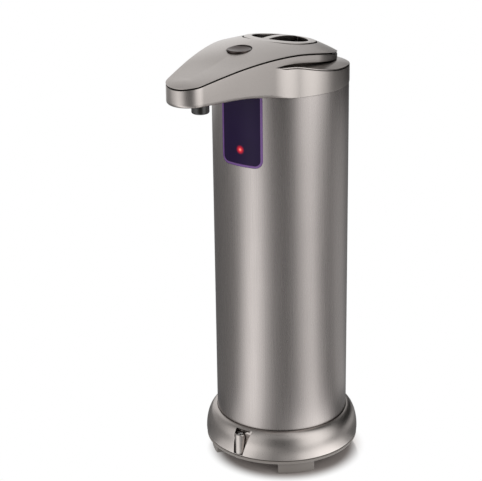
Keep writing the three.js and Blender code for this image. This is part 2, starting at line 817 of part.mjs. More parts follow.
// Gears: involute flanks, with the tooth thinned for backlash
function gearOutline(module_, teeth, phase) {
  const pitch = (module_ * teeth) / 2;
  const base = pitch * Math.cos(pressureAngle);
  const tip = pitch + addendum * module_;
  const root = pitch - dedendum * module_;
  const involute = (angle) => Math.tan(angle) - angle;
  const halfAt = (radius) => {
    const angle = radius > base ? Math.acos(base / radius) : 0;
    const halfTooth = (Math.PI / (2 * teeth)) * (1 - toothBacklashShare);
    return halfTooth + involute(pressureAngle) - involute(angle);
  };
  const flankStart = Math.max(base, root);
  const radii = [root, (flankStart + pitch) / 2, (pitch + tip) / 2, tip];
  const outline = [];
  for (let tooth = 0; tooth < teeth; tooth += 1) {
    const middle = phase + (2 * Math.PI * tooth) / teeth;
    const flank = (radius, sign) => {
      const angle = middle + sign * halfAt(radius);
      outline.push([radius * Math.cos(angle), radius * Math.sin(angle)]);
    };
    radii.forEach((radius) => flank(radius, -1));
    [...radii].reverse().forEach((radius) => flank(radius, 1));
  }
  return outline;
}

function gear(module_, teeth, phase, bore, low, high) {
  const body = prism(gearOutline(module_, teeth, phase), low, high);
  return body.subtract(rod(bore, low - overrun, high + overrun, pinSteps));
}

const plateLow = ringSpigotTop + touchGap;
const plateHigh = plateLow + plateThickness;
const gearLow = plateHigh + shadowGap;
const gearHigh = gearLow + gearWidth;
const pumpLow = gearHigh + shadowGap;
const pumpRoomLow = pumpLow + pumpFloor;
const pumpRoomHigh = pumpRoomLow + pumpGearWidth + 2 * slipGap;
const pumpCoverLow = pumpRoomHigh + slipGap;
const pumpCoverHigh = pumpCoverLow + pumpCoverThickness;
const gearCentres = (gearModule * (gearTeeth + pinionTeeth)) / 2;
const pumpCentres = pumpModule * pumpTeeth;
const motorPlace = [shaftPlaceX - gearCentres, shaftPlaceY];
const shaftPlace = [shaftPlaceX, shaftPlaceY];
const idlerPlace = [
  shaftPlaceX + pumpCentres * Math.cos(pumpLine),
  shaftPlaceY + pumpCentres * Math.sin(pumpLine),
];

// A port of the pump, beside the line between its two gears
function portPlace(offset) {
  const middle = (pumpModule * pumpTeeth) / 2;
  return [
    shaftPlaceX + middle * Math.cos(pumpLine) + offset * Math.sin(pumpLine),
    shaftPlaceY + middle * Math.sin(pumpLine) - offset * Math.cos(pumpLine),
  ];
}

function motor() {
  const low = plateLow - touchGap - motorLength;
  const can = rod(motorRadius, low, plateLow - touchGap, pieceSteps);
  const shaft = rod(motorShaft, plateLow - overrun, gearLow + gearWidth / 2 - slipGap, pinSteps);
  return can.add(shaft).translate([...motorPlace, 0]);
}

function motorPinion() {
  const phase = Math.PI / pinionTeeth;
  const toothed = gear(gearModule, pinionTeeth, phase, motorShaft + slipGap, gearLow, gearHigh);
  const cap = rod(motorShaft + 2 * slipGap, gearLow + gearWidth / 2, gearHigh, pinSteps);
  return toothed.add(cap).translate([...motorPlace, 0]);
}

function reductionGear() {
  const phase = Math.PI;
  return gear(gearModule, gearTeeth, phase, pumpShaft + slipGap, gearLow, gearHigh)
    .translate([...shaftPlace, 0]);
}

function pumpShaftRod() {
  return rod(pumpShaft, plateLow + touchGap, pumpCoverHigh - touchGap, pinSteps)
    .translate([...shaftPlace, 0]);
}

function pumpDriveGear() {
  const gearLow = pumpRoomLow + slipGap;
  const gearHigh = pumpRoomHigh - slipGap;
  return gear(pumpModule, pumpTeeth, pumpLine, pumpShaft + slipGap, gearLow, gearHigh)
    .translate([...shaftPlace, 0]);
}

function pumpDrivenGear() {
  const phase = pumpLine + Math.PI + Math.PI / pumpTeeth;
  const low = pumpRoomLow + slipGap;
  const high = pumpRoomHigh - slipGap;
  return gear(pumpModule, pumpTeeth, phase, pumpShaft + touchGap, low, high).translate([...idlerPlace, 0]);
}

function gearPlate() {
  const plate = rod(plateRadius, plateLow, plateHigh);
  const bay = holderBox(touchGap, plateLow - overrun, plateHigh + overrun);
  const motorHole = rod(motorShaft + touchGap, plateLow - overrun, plateHigh + overrun, pinSteps);
  const shaftHole = rod(pumpShaft + touchGap, plateLow - overrun, plateHigh + overrun, pinSteps);
  return plate
    .subtract(bay)
    .subtract(motorHole.translate([...motorPlace, 0]))
    .subtract(shaftHole.translate([...shaftPlace, 0]));
}

// Two joined rounds, the plan of the pump
function pumpRound(radius, low, high) {
  const steps = pieceSteps / 2;
  const outline = [];
  const arc = ([x, y], from) => {
    for (let i = 0; i <= steps; i += 1) {
      const angle = from + (Math.PI * i) / steps;
      outline.push([x + radius * Math.cos(angle), y + radius * Math.sin(angle)]);
    }
  };
  arc(shaftPlace, pumpLine + Math.PI / 2);
  arc(idlerPlace, pumpLine - Math.PI / 2);
  return prism(outline, low, high);
}

const pumpTip = (pumpModule * pumpTeeth) / 2 + addendum * pumpModule;

const fixingPlaces = [-fixingOffset, fixingOffset].map((offset) => portPlace(offset));

function postPlaces() {
  return [-1, 1].map((sign) => [
    idlerPlace[0] - sign * postSpread * Math.sin(pumpLine),
    idlerPlace[1] + sign * postSpread * Math.cos(pumpLine),
  ]);
}

function pumpHousing() {
  const chamber = pumpTip + slipGap + touchGap / 2;
  let body = pumpRound(chamber + pumpWall, pumpLow, pumpRoomHigh);
  const high = pumpRoomHigh + overrun;
  [shaftPlace, idlerPlace].forEach((place) => {
    body = body.subtract(rod(chamber, pumpRoomLow, high, pieceSteps).translate([...place, 0]));
  });
  const shaftHole = rod(pumpShaft + touchGap, pumpLow - overrun, high, pinSteps);
  const pin = rod(pumpShaft, pumpRoomLow - slipGap, pumpRoomHigh - touchGap, pinSteps);
  postPlaces().forEach((place) => {
    body = body.add(rod(postRadius, plateHigh + touchGap, pumpRoomLow, pinSteps).translate([...place, 0]));
  });
  fixingPlaces.forEach((place) => {
    body = body.subtract(rod(fixingRadius + slipGap, pumpRoomLow, high, pinSteps).translate([...place, 0]));
  });
  return body.subtract(shaftHole.translate([...shaftPlace, 0])).add(pin.translate([...idlerPlace, 0]));
}

function pumpCover() {
  const chamber = pumpTip + slipGap + touchGap / 2;
  let body = pumpRound(chamber + pumpWall, pumpCoverLow, pumpCoverHigh);
  const shaftRoom = rod(pumpShaft + touchGap, pumpCoverLow - overrun, pumpCoverHigh + overrun, pinSteps);
  body = body.subtract(shaftRoom.translate([...shaftPlace, 0]));
  fixingPlaces.forEach((place) => {
    const hole = rod(fixingRadius + slipGap, pumpCoverLow - overrun, pumpCoverHigh + overrun, pinSteps);
    body = body.subtract(hole.translate([...place, 0]));
  });
  [inletPlace, outletPlace].forEach((place) => {
    const nipple = rod(nippleRadius, pumpCoverHigh - touchGap, pumpCoverHigh + nippleLength, pinSteps);
    const bore = rod(nippleBore, pumpCoverLow - overrun, pumpCoverHigh + nippleLength + overrun, pinSteps);
    body = body.add(nipple.translate([...place, 0])).subtract(bore.translate([...place, 0]));
  });
  return body;
}

function pumpFixing(place) {
  return screw(fixingHead, fixingHeadHeight, fixingRadius, pumpRoomLow + touchGap, pumpCoverHigh + slipGap)
    .translate([...place, 0]);
}

function inletTube() {
  const low = pumpCoverHigh + slipGap + fixingHeadHeight + touchGap;
  const high = tankBottom - touchGap;
  return ring(nippleRadius + slipGap, nippleRadius + 2 * slipGap + hoseBore / 2, low, high, pinSteps)
    .translate([...inletPlace, 0]);
}

// The outlet hose: off the pump's nipple, up the tank's groove, forward along the arm to the nozzle
const hoseStart = pumpCoverHigh + nippleLength + touchGap;
const barbHeight = bellyLine(nozzleForward) + casingFloor + nozzleFlange + touchGap + hoseRadius;
const hoseEnd = -(nozzleForward - nozzleStub - touchGap);

function outletHose() {
  const [gx, gy] = groovePlace;
  const [ox, oy] = outletPlace;
  const inHead = hoseSideShares.map((share, i) => new THREE.Vector3(
    share * gx,
    -hoseForwardShares[i] * nozzleForward,
    collarBottom + hoseHeightShares[i] * headHeight,
  ));
  const route = new THREE.CatmullRomCurve3([
    new THREE.Vector3(ox, oy, hoseStart),
    new THREE.Vector3(ox, oy, hoseStart + hoseRadius),
    new THREE.Vector3((ox + gx) / 2, (oy + gy) / 2, (hoseStart + hoseRadius + tankBottom) / 2),
    new THREE.Vector3(gx, gy, tankBottom),
    new THREE.Vector3(gx, gy, (tankBottom + tankTop) / 2),
    new THREE.Vector3(gx, gy, tankTop),
    ...inHead,
    new THREE.Vector3(0, hoseEnd + hoseRadius, barbHeight),
    new THREE.Vector3(0, hoseEnd, barbHeight),
  ]);
  const section = new THREE.Shape();
  section.absarc(0, 0, hoseRadius, 0, 2 * Math.PI);
  const bore = new THREE.Path();
  bore.absarc(0, 0, hoseBore, 0, 2 * Math.PI);
  section.holes.push(bore);
  const hoseSides = 4;
  const hoseSteps = 26;
  return solidOf(new THREE.ExtrudeGeometry(section, {
    steps: hoseSteps,
    curveSegments: hoseSides,
    extrudePath: route,
  }));
}

// Black outlet tip with its flange on the arm's floor and a barb towards the hose
function nozzle() {
  const floorTop = bellyLine(nozzleForward) + casingFloor + touchGap;
  const flangeTop = floorTop + nozzleFlange;
  const body = turned([
    [0, nozzleBottom],
    [nozzleRadius - nozzleRounding, nozzleBottom],
    [nozzleRadius, nozzleBottom + nozzleRounding],
    [nozzleRadius, floorTop],
    [nozzleRadius + nozzleFlange, floorTop],
    [nozzleRadius + nozzleFlange, flangeTop],
    [nozzleRadius, flangeTop],
    [nozzleRadius, barbHeight + hoseRadius],
    [0, barbHeight + hoseRadius],
  ], pieceSteps);
  const barb = rod(nippleRadius, 0, nozzleStub, pinSteps).rotate([-90, 0, 0]).translate([0, 0, barbHeight]);
  const bore = rod(nozzleBore, nozzleBottom - overrun, barbHeight, pinSteps);
  const seat = rod(valveRadius + slipGap, nozzleBottom - overrun, nozzleBottom + 2 * valveHeight, pinSteps);
  const crossBore = rod(nippleBore, 0, nozzleStub + overrun, pinSteps)
    .rotate([-90, 0, 0])
    .translate([0, 0, barbHeight]);
  return body.add(barb).subtract(bore).subtract(seat).subtract(crossBore).translate([0, -nozzleForward, 0]);
}

function nozzleValve() {
  const top = nozzleBottom + 2 * valveHeight - slipGap;
  const slitLow = top - valveHeight - overrun;
  const slit = block(-valveRadius / 2, valveRadius / 2, -slipGap, slipGap, slitLow, top + overrun);
  return rod(valveRadius, top - valveHeight, top, pinSteps).subtract(slit).translate([0, -nozzleForward, 0]);
}

// Button, its stem, and the switch on a small board inside the arm
const buttonTop = crestLine(buttonForward) + buttonRise;
const stemTop = buttonTop - buttonSkirt - touchGap;
const stemBottom = stemTop - stemLength;
const switchTop = stemBottom - buttonTravel - touchGap;
const headBoardTop = switchTop - switchHeight;

function button() {
  const dishSteps = 4;
  const face = [];
  for (let i = 0; i <= dishSteps; i += 1) {
    const share = i / dishSteps;
    face.push([buttonRadius * share, buttonTop - buttonDish * (1 - share * share)]);
  }
  return turned([
    ...face,
    [buttonRadius, buttonTop - buttonSkirt],
    [0, buttonTop - buttonSkirt],
  ], pieceSteps).translate([0, -buttonForward, 0]);
}

function buttonStem() {
  return rod(stemRadius, stemBottom, stemTop, pinSteps).translate([0, -buttonForward, 0]);
}

function tactSwitch() {
  const half = switchSize / 2;
  const middle = -buttonForward;
  const low = headBoardTop + slipGap;
  return block(-half, half, middle - half, middle + half, low, switchTop);
}

function headBoard() {
  const room = prism(armPlan(casingWall + touchGap), headBoardTop - boardThickness, headBoardTop);
  const half = headBoardLength / 2;
  return room.intersect(block(
    -headSide,
    headSide,
    -buttonForward - half,
    -buttonForward + half,
    wayDown,
    wayUp,
  ));
}

// Batteries, upright in a row behind the gearbox, in a holder that opens downwards
function batteryX(index) {
  return (index - (batteryCount - 1) / 2) * batteryPitch;
}

function holderBox(grow, low, high) {
  const halfX = (batteryCount * batteryPitch) / 2 + holderWall + grow;
  const halfY = batteryRadius + touchGap + holderWall + grow;
  const box = block(-halfX, halfX, batteryRowY - halfY, batteryRowY + halfY, low, high);
  return box.intersect(rod(spigotInner - touchGap + grow, low - overrun, high + overrun));
}

function batteryHolder() {
  const low = batteryBottom;
  let body = holderBox(0, low, holderTop);
  body = body.add(holderBox(shadowGap + touchGap, plateHigh + touchGap, plateHigh + touchGap + holderWall));
  for (let i = 0; i < batteryCount; i += 1) {
    const bay = rod(batteryRadius + touchGap, low - overrun, holderTop - holderWall, pieceSteps);
    body = body.subtract(bay.translate([batteryX(i), batteryRowY, 0]));
  }
  return body;
}

function battery(index) {
  const low = batteryBottom + touchGap;
  const high = low + batteryLength;
  const up = index % 2 === 0;
  const body = turned([
    [0, low],
    [batteryRadius, low],
    [batteryRadius, high],
    [batteryNubRadius, high],
    [batteryNubRadius, high + batteryNub],
    [0, high + batteryNub],
  ], pinSteps);
  const mirrored = body.rotate([180, 0, 0]).translate([0, 0, low + high]);
  return (up ? body : mirrored.translate([0, 0, batteryNub])).translate([batteryX(index), batteryRowY, 0]);
}

function contactPlate() {
  const low = holderTop - holderWall - contactThickness - touchGap;
  const half = batteryRadius - touchGap;
  return rod(half, low, low + contactThickness, pinSteps);
}

// Boards and the flat cable
function controlBoard() {
  const back = controlBoardY + boardThickness;
  const low = plateHigh + touchGap;
  return block(-controlBoardHalf, controlBoardHalf, controlBoardY, back, low, controlBoardTop);
}

function sensorCable() {
  const inner = (tankRadius + tubeRadius - tubeWall) / 2 - cableThickness / 2;
  const strip = ring(inner, inner + cableThickness, cableBottom, cableTop);
  const half = cableWidth / 2;
  const gate = block(-half, half, -tubeRadius - overrun, 0, cableBottom, cableTop);
  return strip.intersect(gate.rotate([0, 0, THREE.MathUtils.radToDeg(cableAngle)]));
}

// The assembly
const dispenser = new THREE.Group();
const column = new THREE.Group();
dispenser.add(column);

// the box spans from the nose to the back of the foot, and the origin is under its middle
column.position.y = (noseReach - baseRadius) / 2;

function place(name, solid, look) {
  const mesh = new THREE.Mesh(geometryOf(solid), new THREE.MeshStandardMaterial(look));
  mesh.name = name;
  column.add(mesh);
}

place('body_tube', bodyTube(), nickel);
place('head_casing', headCasing(), nickel);
place('collar_deck', collarDeck(), nickel);
place('top_cover', topCover(), nickel);
place('filler_cap', fillerCap(), nickel);
place('cap_seal', capSeal(), greyRubber);
place('reservoir_lid', tankLid(), whitePlastic);
place('reservoir_gasket', tankGasket(), greyRubber);
place('reservoir', tank(), clearPlastic);
place('button', button(), nickel);
place('button_stem', buttonStem(), blackGloss);
place('button_switch', tactSwitch(), blackGloss);
place('head_board', headBoard(), boardGreen);
place('nozzle', nozzle(), blackGloss);
place('nozzle_valve', nozzleValve(), greyRubber);
place('outlet_hose', outletHose(), clearPlastic);
place('sensor_window', sensorWindow(), violetGlass);
place('window_bezel', windowBezel(), purpleRim);
place('sensor_board', sensorBoard(), boardGreen);
place('status_led', facingOut(ledRadius, eyeLength, 0, ledHeight), ledRed);
place('ir_emitter', facingOut(eyeRadius, eyeLength, -eyeSpread, eyeHeight), violetGlass);
place('ir_receiver', facingOut(eyeRadius, eyeLength, eyeSpread, eyeHeight), blackGloss);
place('sensor_cable', sensorCable(), darkPlastic);
place('base_ring', baseRing(), nickel);
place('base_gasket', baseGasket(), greyRubber);
place('bottom_cover', bottomCover(), footGrey);
place('cover_contact', batteryTray(trayTop + touchGap, batteryBottom - touchGap), brass);
place('cover_screw', coverScrew(), steel);
place('foot_front_right', footPad(padAngle), footGrey);
place('foot_front_left', footPad(-padAngle), footGrey);
place('foot_rear_right', footPad(Math.PI - padAngle), footGrey);
place('foot_rear_left', footPad(padAngle - Math.PI), footGrey);
place('gear_plate', gearPlate(), darkPlastic);
place('motor', motor(), steel);
place('motor_pinion', motorPinion(), brass);
place('reduction_gear', reductionGear(), whitePlastic);
place('pump_shaft', pumpShaftRod(), steel);
place('pump_housing', pumpHousing(), darkPlastic);
place('pump_cover', pumpCover(), darkPlastic);
place('pump_drive_gear', pumpDriveGear(), whitePlastic);
place('pump_driven_gear', pumpDrivenGear(), whitePlastic);
place('inlet_tube', inletTube(), clearPlastic);
place('battery_holder', batteryHolder(), darkPlastic);
place('control_board', controlBoard(), boardGreen);
for (let i = 0; i < batteryCount; i += 1) {
  place(`battery_${i + 1}`, battery(i), batteryBlue);
  place(`battery_contact_${i + 1}`, contactPlate().translate([batteryX(i), batteryRowY, 0]), brass);
}
fixingPlaces.forEach((spot, i) => place(`pump_screw_${i + 1}`, pumpFixing(spot), steel));

export default dispenser;
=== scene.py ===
import json
from math import acos, asin, atan2, cos, pi, radians, sin, sqrt, tan

import bmesh
import bpy
from mathutils import Matrix, Vector
from mathutils.geometry import delaunay_2d_cdt


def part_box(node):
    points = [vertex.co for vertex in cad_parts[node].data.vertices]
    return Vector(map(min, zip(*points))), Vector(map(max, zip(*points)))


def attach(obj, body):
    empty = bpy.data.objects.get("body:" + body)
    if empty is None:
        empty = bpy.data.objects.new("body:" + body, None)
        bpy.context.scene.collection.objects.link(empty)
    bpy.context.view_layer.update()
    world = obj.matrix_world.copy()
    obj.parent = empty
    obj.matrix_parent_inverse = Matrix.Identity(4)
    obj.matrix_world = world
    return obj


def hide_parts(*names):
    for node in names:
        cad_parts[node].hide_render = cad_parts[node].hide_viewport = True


# The looks of a touch-free soap dispenser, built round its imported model.
# Lengths are in millimetres until build() makes a mesh of them. "Forward" is the distance
# from the column's axis towards the spout, "side" is to the right seen from the front.

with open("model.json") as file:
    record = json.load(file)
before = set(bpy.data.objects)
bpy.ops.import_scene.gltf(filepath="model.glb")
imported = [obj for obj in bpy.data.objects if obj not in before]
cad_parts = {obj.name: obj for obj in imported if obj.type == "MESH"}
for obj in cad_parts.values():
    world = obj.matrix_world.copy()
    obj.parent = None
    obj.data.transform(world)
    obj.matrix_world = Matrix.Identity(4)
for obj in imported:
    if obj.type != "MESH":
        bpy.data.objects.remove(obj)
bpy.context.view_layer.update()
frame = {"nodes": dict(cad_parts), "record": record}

MM = 0.001


def box_mm(node):
    low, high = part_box(node)
    return low / MM, high / MM


# Sizes read from the frame
tube_low, tube_high = box_mm("body_tube")
TUBE_RADIUS = (tube_high.x - tube_low.x) / 2
AXIS_Y = (tube_low.y + tube_high.y) / 2
BASE_TOP = tube_low.z
ring_low, ring_high = box_mm("base_ring")
BASE_RADIUS = (ring_high.x - ring_low.x) / 2
NOSE_REACH = AXIS_Y - box_mm("head_casing")[0].y
WINDOW_TOP = box_mm("sensor_window")[1].z
nozzle_low, nozzle_high = box_mm("nozzle")

# Mesh making
SHARP = radians(34)
FILL_TOLERANCE = 1e-4
HALF_TURNS = 96
SMALL_TURNS = 64
SCREW_TURNS = 48
CAP_TURNS = 160
SQUARE = ((-1, -1), (1, -1), (1, 1), (-1, 1))

# Head
COLLAR_BOTTOM = 187.5
HEAD_HEIGHT = 22
COLLAR_RADIUS = 32.2
COLLAR_INNER = 29.4
NOSE_RADIUS = 10.1
HOOD_RADIUS = 26.4
NOSE_CENTRE = NOSE_REACH - NOSE_RADIUS
THROAT_RADIUS = 28
SEAM_GAP = 0.5
CASING_WALL = 2.4
CASING_FLOOR = 2.2
SLOT_DEPTH = 2
SLOT_GAP = 0.3
RIM_WIDTH = 0.8
RIM_OVERLAP = 0.1
RIM_ROUNDING = 0.1
RIM_GROOVE = 0.5
DECK_START = 1.5
DECK_THICKNESS = 1.5
DECK_EDGE = 0.4
DECK_ROUNDING = 0.3
DECK_SIDE_GAP = 0.02
DECK_STEPS = 12
DECK_RISE_SHARE = 0.85
DECK_RISE_REACH = 24
DECK_RISE_POWER = 1.5
HAIR = 0.001
BELLY_FILLET = 1.6
COLLAR_FILLET = 0.22
FILLET_START = 4
FILLET_RAMP = 14
EDGE_ROUNDING = 0.3
NOTCH_RAMP = 7
ROOF_THICKNESS = 2
ROOF_RIM = 1.8
DOME_POWER = 1.7
DOME_DIP_SHARE = 0.12

# Places of the head's lines, as shares of its reach
REAR_SHARES = (-0.42, -0.26, -0.13, 0, 0.1, 0.18, 0.26, 0.34, 0.4)
BELLY_SHARES = (0.2, 0.31, 0.46, 0.57, 0.65, 0.73, 0.82, 0.91, 1.02)
BELLY_START = BELLY_SHARES[0] * NOSE_REACH
NOTCH_TIP = REAR_SHARES[-1] * NOSE_REACH

# Filler cap
CAP_LEAN = radians(7.9)
CAP_SEAT = 207.2
CAP_RADIUS = 16.7
CAP_CROWN = 1.2
CAP_BROW = 0.3
CAP_EDGE = 0.25
CAP_LIP = 2.2
CAP_CUP = 14.8
CAP_CUP_DEPTH = 11
CAP_PLUG = 10.8
CAP_PLUG_DEPTH = 17
CAP_PLUG_CHAMFER = 0.6
CAP_GAP = 0.6
CAP_HOLE_LIP = 0.22
POCKET_RADIUS = 13.9
POCKET_LENGTH_SHARE = 0.865
POCKET_DEPTH = 8.5
POCKET_CORNER = 1.1
POCKET_LEAST_CORNER = 0.35
POCKET_EDGE = 0.35
POCKET_FILLET = 1
BAR_WIDTH = 3
SEAL_SECTION = 1.8
SEAL_BITE = 1

# Button
BUTTON_FORWARD = 31.4
BUTTON_RADIUS = 5.6
BUTTON_RISE = 0.2
BUTTON_DISH = 0.7
BUTTON_DISH_SHARE = 0.93
BUTTON_DISH_STEPS = 8
BUTTON_SKIRT = 1.6
BUTTON_EDGE = 0.35
BUTTON_SKIRT_EDGE = 0.2
BUTTON_GAP = 0.2
BUTTON_HOLE_BAND = 1.2
BUTTON_HOLE_TOLERANCE = 0.02

# Nozzle: the table's rows are radius, height over the tip and corner radius
NOZZLE_FORWARD = 60.5
NOZZLE_HOLE = 4.25
NOZZLE_LENGTH = nozzle_high.z - nozzle_low.z
NOZZLE_BORE = 1.5
NOZZLE_MOUTH = 3
NOZZLE_STEM = NOZZLE_LENGTH - 3
NOZZLE_RADIUS = 4
NOZZLE_ROWS = (
    (NOZZLE_BORE, NOZZLE_MOUTH, 0.2),
    (2.3, 0, 0.35),
    (NOZZLE_RADIUS, 0, 1.1),
    (NOZZLE_RADIUS, NOZZLE_STEM, 0.3),
    (NOZZLE_BORE, NOZZLE_STEM, 0),
)

# Column and window
TUBE_WALL = 0.8
TUBE_EDGE = 0.2
TUBE_LAP = 0.9
WINDOW_HALF = 11.4
WINDOW_BOTTOM = 153.8
WINDOW_CORNER = 4
WINDOW_THICKNESS = 1.2
WINDOW_SINK = 0.12
WINDOW_GAP = 0.05
WINDOW_HOLE_INSET = 0.02
BEZEL_WIDTH = 1.2
BEZEL_PROUD = 0.12
BEZEL_BEVEL = 0.05
LED_HEIGHT = 161.8

# Foot
RING_BOTTOM = 8.1
RING_WAIST = 9.5
RING_SHOULDER = TUBE_RADIUS + 0.16
RING_TOP = BASE_TOP + 0.02
RING_SLEEVE = TUBE_RADIUS - 2.5
RING_SLEEVE_TOP = 26
RING_STEPS = 18
NOTCH_REAR = 33
NOTCH_FRONT = BASE_RADIUS + 4
NOTCH_TOP = BASE_TOP - 0.9
NOTCH_STEPS = 8
NOTCH_TOP_SIDE = 6.4
NOTCH_BOTTOM_SIDE = 3
NOTCH_NEAR_SIDE = 2.7
NOTCH_LOW_SIDE = 2.2
NOTCH_INNER_SIDE = 2.5
NOTCH_LIP = 0.35
POCKET_INNER_SIDE = 4.8
FACET_REAR = 34.5
BOSS_RADIUS = 2.6
BOSS_TOP = 18.8
BOSS_ROOT = 8.6
BOSS_BASE = RING_BOTTOM + 0.1
SCREW_REACH = BASE_RADIUS - BOSS_RADIUS - 0.2
SCREW_HEAD = 1.7
SCREW_HEIGHT = 1.2
SCREW_SINK = 1.5
SCREW_BORE = 2.25
SCREW_SHANK = 1
SCREW_GAP = 0.05
CROSS_DEPTH = 0.6
CROSS_HALF_WIDTH = 0.25
CROSS_REACH = SCREW_HEAD - 0.6
CROSS_TURN = 0.4
COVER_BOTTOM = 6.2
COVER_TOP = 7.8
COVER_RADIUS = BASE_RADIUS - 0.2
TAB_RADIUS = BOSS_RADIUS + 0.2
PAD_RADIUS = BASE_RADIUS - 2.6
PAD_WIDTH = 5
PAD_CORNER = 0.5
PAD_STEPS = 14
PAD_ANGLE = radians(47)
PAD_SWEEP = radians(30)

# Rows of radius, height and corner radius of the cover plate
COVER_ROWS = (
    (0, COVER_BOTTOM + 0.9, 0), (31, COVER_BOTTOM + 0.9, 0.2), (31.6, COVER_BOTTOM, 0.2),
    (COVER_RADIUS, COVER_BOTTOM, 0.6), (COVER_RADIUS, COVER_TOP, 0.45), (29.2, COVER_TOP, 0.1),
    (29.2, COVER_TOP + 2.4, 0.2), (27.6, COVER_TOP + 2.4, 0.2), (27.6, COVER_TOP, 0.1), (0, COVER_TOP, 0),
)


def smoothstep(t):
    t = min(max(t, 0), 1)
    return t * t * (3 - 2 * t)


def line_through(place_shares, height_shares):
    """A smooth side-view line of the head: the height at a distance forward.

    Its points are given as shares of the head's reach and of its height.
    """
    places = [share * NOSE_REACH for share in place_shares]
    heights = [COLLAR_BOTTOM + share * HEAD_HEIGHT for share in height_shares]
    last = len(places) - 1
    slopes = []
    for i in range(last + 1):
        before, after = max(i - 1, 0), min(i + 1, last)
        slopes.append((heights[after] - heights[before]) / (places[after] - places[before]))

    def height(forward):
        if forward <= places[0]:
            return heights[0] + slopes[0] * (forward - places[0])
        if forward >= places[last]:
            return heights[last] + slopes[last] * (forward - places[last])
        i = next(k for k in range(last) if forward <= places[k + 1])
        span = places[i + 1] - places[i]
        t = (forward - places[i]) / span
        lead = t * (1 - t) * (1 - t) * slopes[i] * span
        trail = t * t * (1 - t) * slopes[i + 1] * span
        return heights[i] + smoothstep(t) * (heights[i + 1] - heights[i]) + lead - trail

    return height


seam_line = line_through(
    (-0.34, -0.13, 0.05, 0.23, 0.41, 0.6, 0.78, 1.01),
    (0.5, 0.64, 0.755, 0.832, 0.84, 0.795, 0.71, 0.575),
)
crest_line = line_through(
    (0, 0.22, 0.43, 0.65, 0.87),
    (1.005, 1.015, 0.94, 0.8, 0.7),
)
deck_line = line_through(REAR_SHARES, (0.29, 0.36, 0.415, 0.45, 0.505, 0.565, 0.63, 0.65, 0.68))
band_line = line_through(REAR_SHARES, (0.33, 0.425, 0.5, 0.56, 0.605, 0.645, 0.672, 0.685, 0.68))
belly_curve = line_through(BELLY_SHARES, (0, 0, 0.09, 0.15, 0.175, 0.19, 0.2, 0.21, 0.21))


def belly_line(forward):
    return belly_curve(forward) if forward > BELLY_START else COLLAR_BOTTOM


def put(forward, side, height):
    return Vector((side, AXIS_Y - forward, height))


def over(spot, height):
    """The point at a height over a spot of the plan."""
    return put(spot.x, spot.y, height)


def upright(forward):
    """The place of a piece that is turned round an upright axis."""
    return Matrix.Translation(put(forward, 0, 0))


def polar(radius, angle):
    return Vector((radius * cos(angle), radius * sin(angle)))


def arc(centre, radius, start, sweep, steps, last=True):
    """Points of the plan along an arc, with or without the last one."""
    turns = range(steps + 1 if last else steps)
    return [Vector(centre) + polar(radius, start + sweep * k / steps) for k in turns]


def between(start, end, steps):
    return [start.lerp(end, k / steps) for k in range(steps + 1)]


def placed(name, data):
    obj = bpy.data.objects.new(name, data)
    bpy.context.scene.collection.objects.link(obj)
    return obj


def finish_mesh(obj, sharp=SHARP):
    """Smooth shading with creases at the sharp edges, and normals that follow the large faces."""
    obj.data.shade_smooth()
    obj.data.set_sharp_from_angle(angle=sharp)
    if "crisp" not in obj.modifiers:
        crisp = obj.modifiers.new("crisp", "WEIGHTED_NORMAL")
        crisp.keep_sharp = True
    return obj


def build(name, points, faces, sharp=SHARP):
    mesh = bpy.data.meshes.new(name)
    mesh.from_pydata([tuple(Vector(p) * MM) for p in points], [], faces)
    work = bmesh.new()
    work.from_mesh(mesh)
    bmesh.ops.remove_doubles(work, verts=work.verts, dist=2e-7)
    bmesh.ops.dissolve_degenerate(work, edges=work.edges, dist=1e-8)
    bmesh.ops.recalc_face_normals(work, faces=work.faces)
    work.to_mesh(mesh)
    work.free()
    return finish_mesh(placed(name, mesh), sharp)


def loft(stations, ring_closed=True, profile_closed=True, capped=False):
    """Points and faces of a skin through stations that have the same number of points."""
    count = len(stations[0])
    points = [p for station in stations for p in station]
    faces = []
    spans = len(stations) if ring_closed else len(stations) - 1
    sides = count if profile_closed else count - 1
    for i in range(spans):
        j = (i + 1) % len(stations)
        for k in range(sides):
            m = (k + 1) % count
            faces.append((i * count + k, j * count + k, j * count + m, i * count + m))
    if capped:
        faces.append(tuple(range(count)))
        faces.append(tuple((len(stations) - 1) * count + k for k in reversed(range(count))))
    return points, faces


def prism(name, stations):
    """A solid through open stations, closed at both ends."""
    return build(name, *loft(stations, ring_closed=False, capped=True))


def rounded(corners, radii, closed=True, steps=4, most=0.49):
    """A 2-D outline with its corners turned into arcs, each over a share of a side at most."""
    corners = [Vector(c) for c in corners]
    out = []
    for i, corner in enumerate(corners):
        at_end = not closed and i in (0, len(corners) - 1)
        if radii[i] == 0 or at_end:
            out.append(corner)
            continue
        back = corners[i - 1] - corner
        ahead = corners[(i + 1) % len(corners)] - corner
        half = back.angle(ahead) / 2
        reach = min(radii[i] / tan(half), most * back.length, most * ahead.length)
        radius = reach * tan(half)
        centre = corner + (back.normalized() + ahead.normalized()).normalized() * (radius / sin(half))
        start = corner + back.normalized() * reach - centre
        end = corner + ahead.normalized() * reach - centre
        turn = pi - 2 * half
        for k in range(steps + 1):
            t = k / steps
            spot = start * sin((1 - t) * turn) + end * sin(t * turn)
            out.append(centre + spot / sin(turn))
    return out


def profile_of(rows, closed=False, steps=4, base=0):
    """A profile from rows of radius, height over a base and corner radius."""
    return rounded([(r, base + z) for r, z, _ in rows], [corner for _, _, corner in rows], closed, steps)


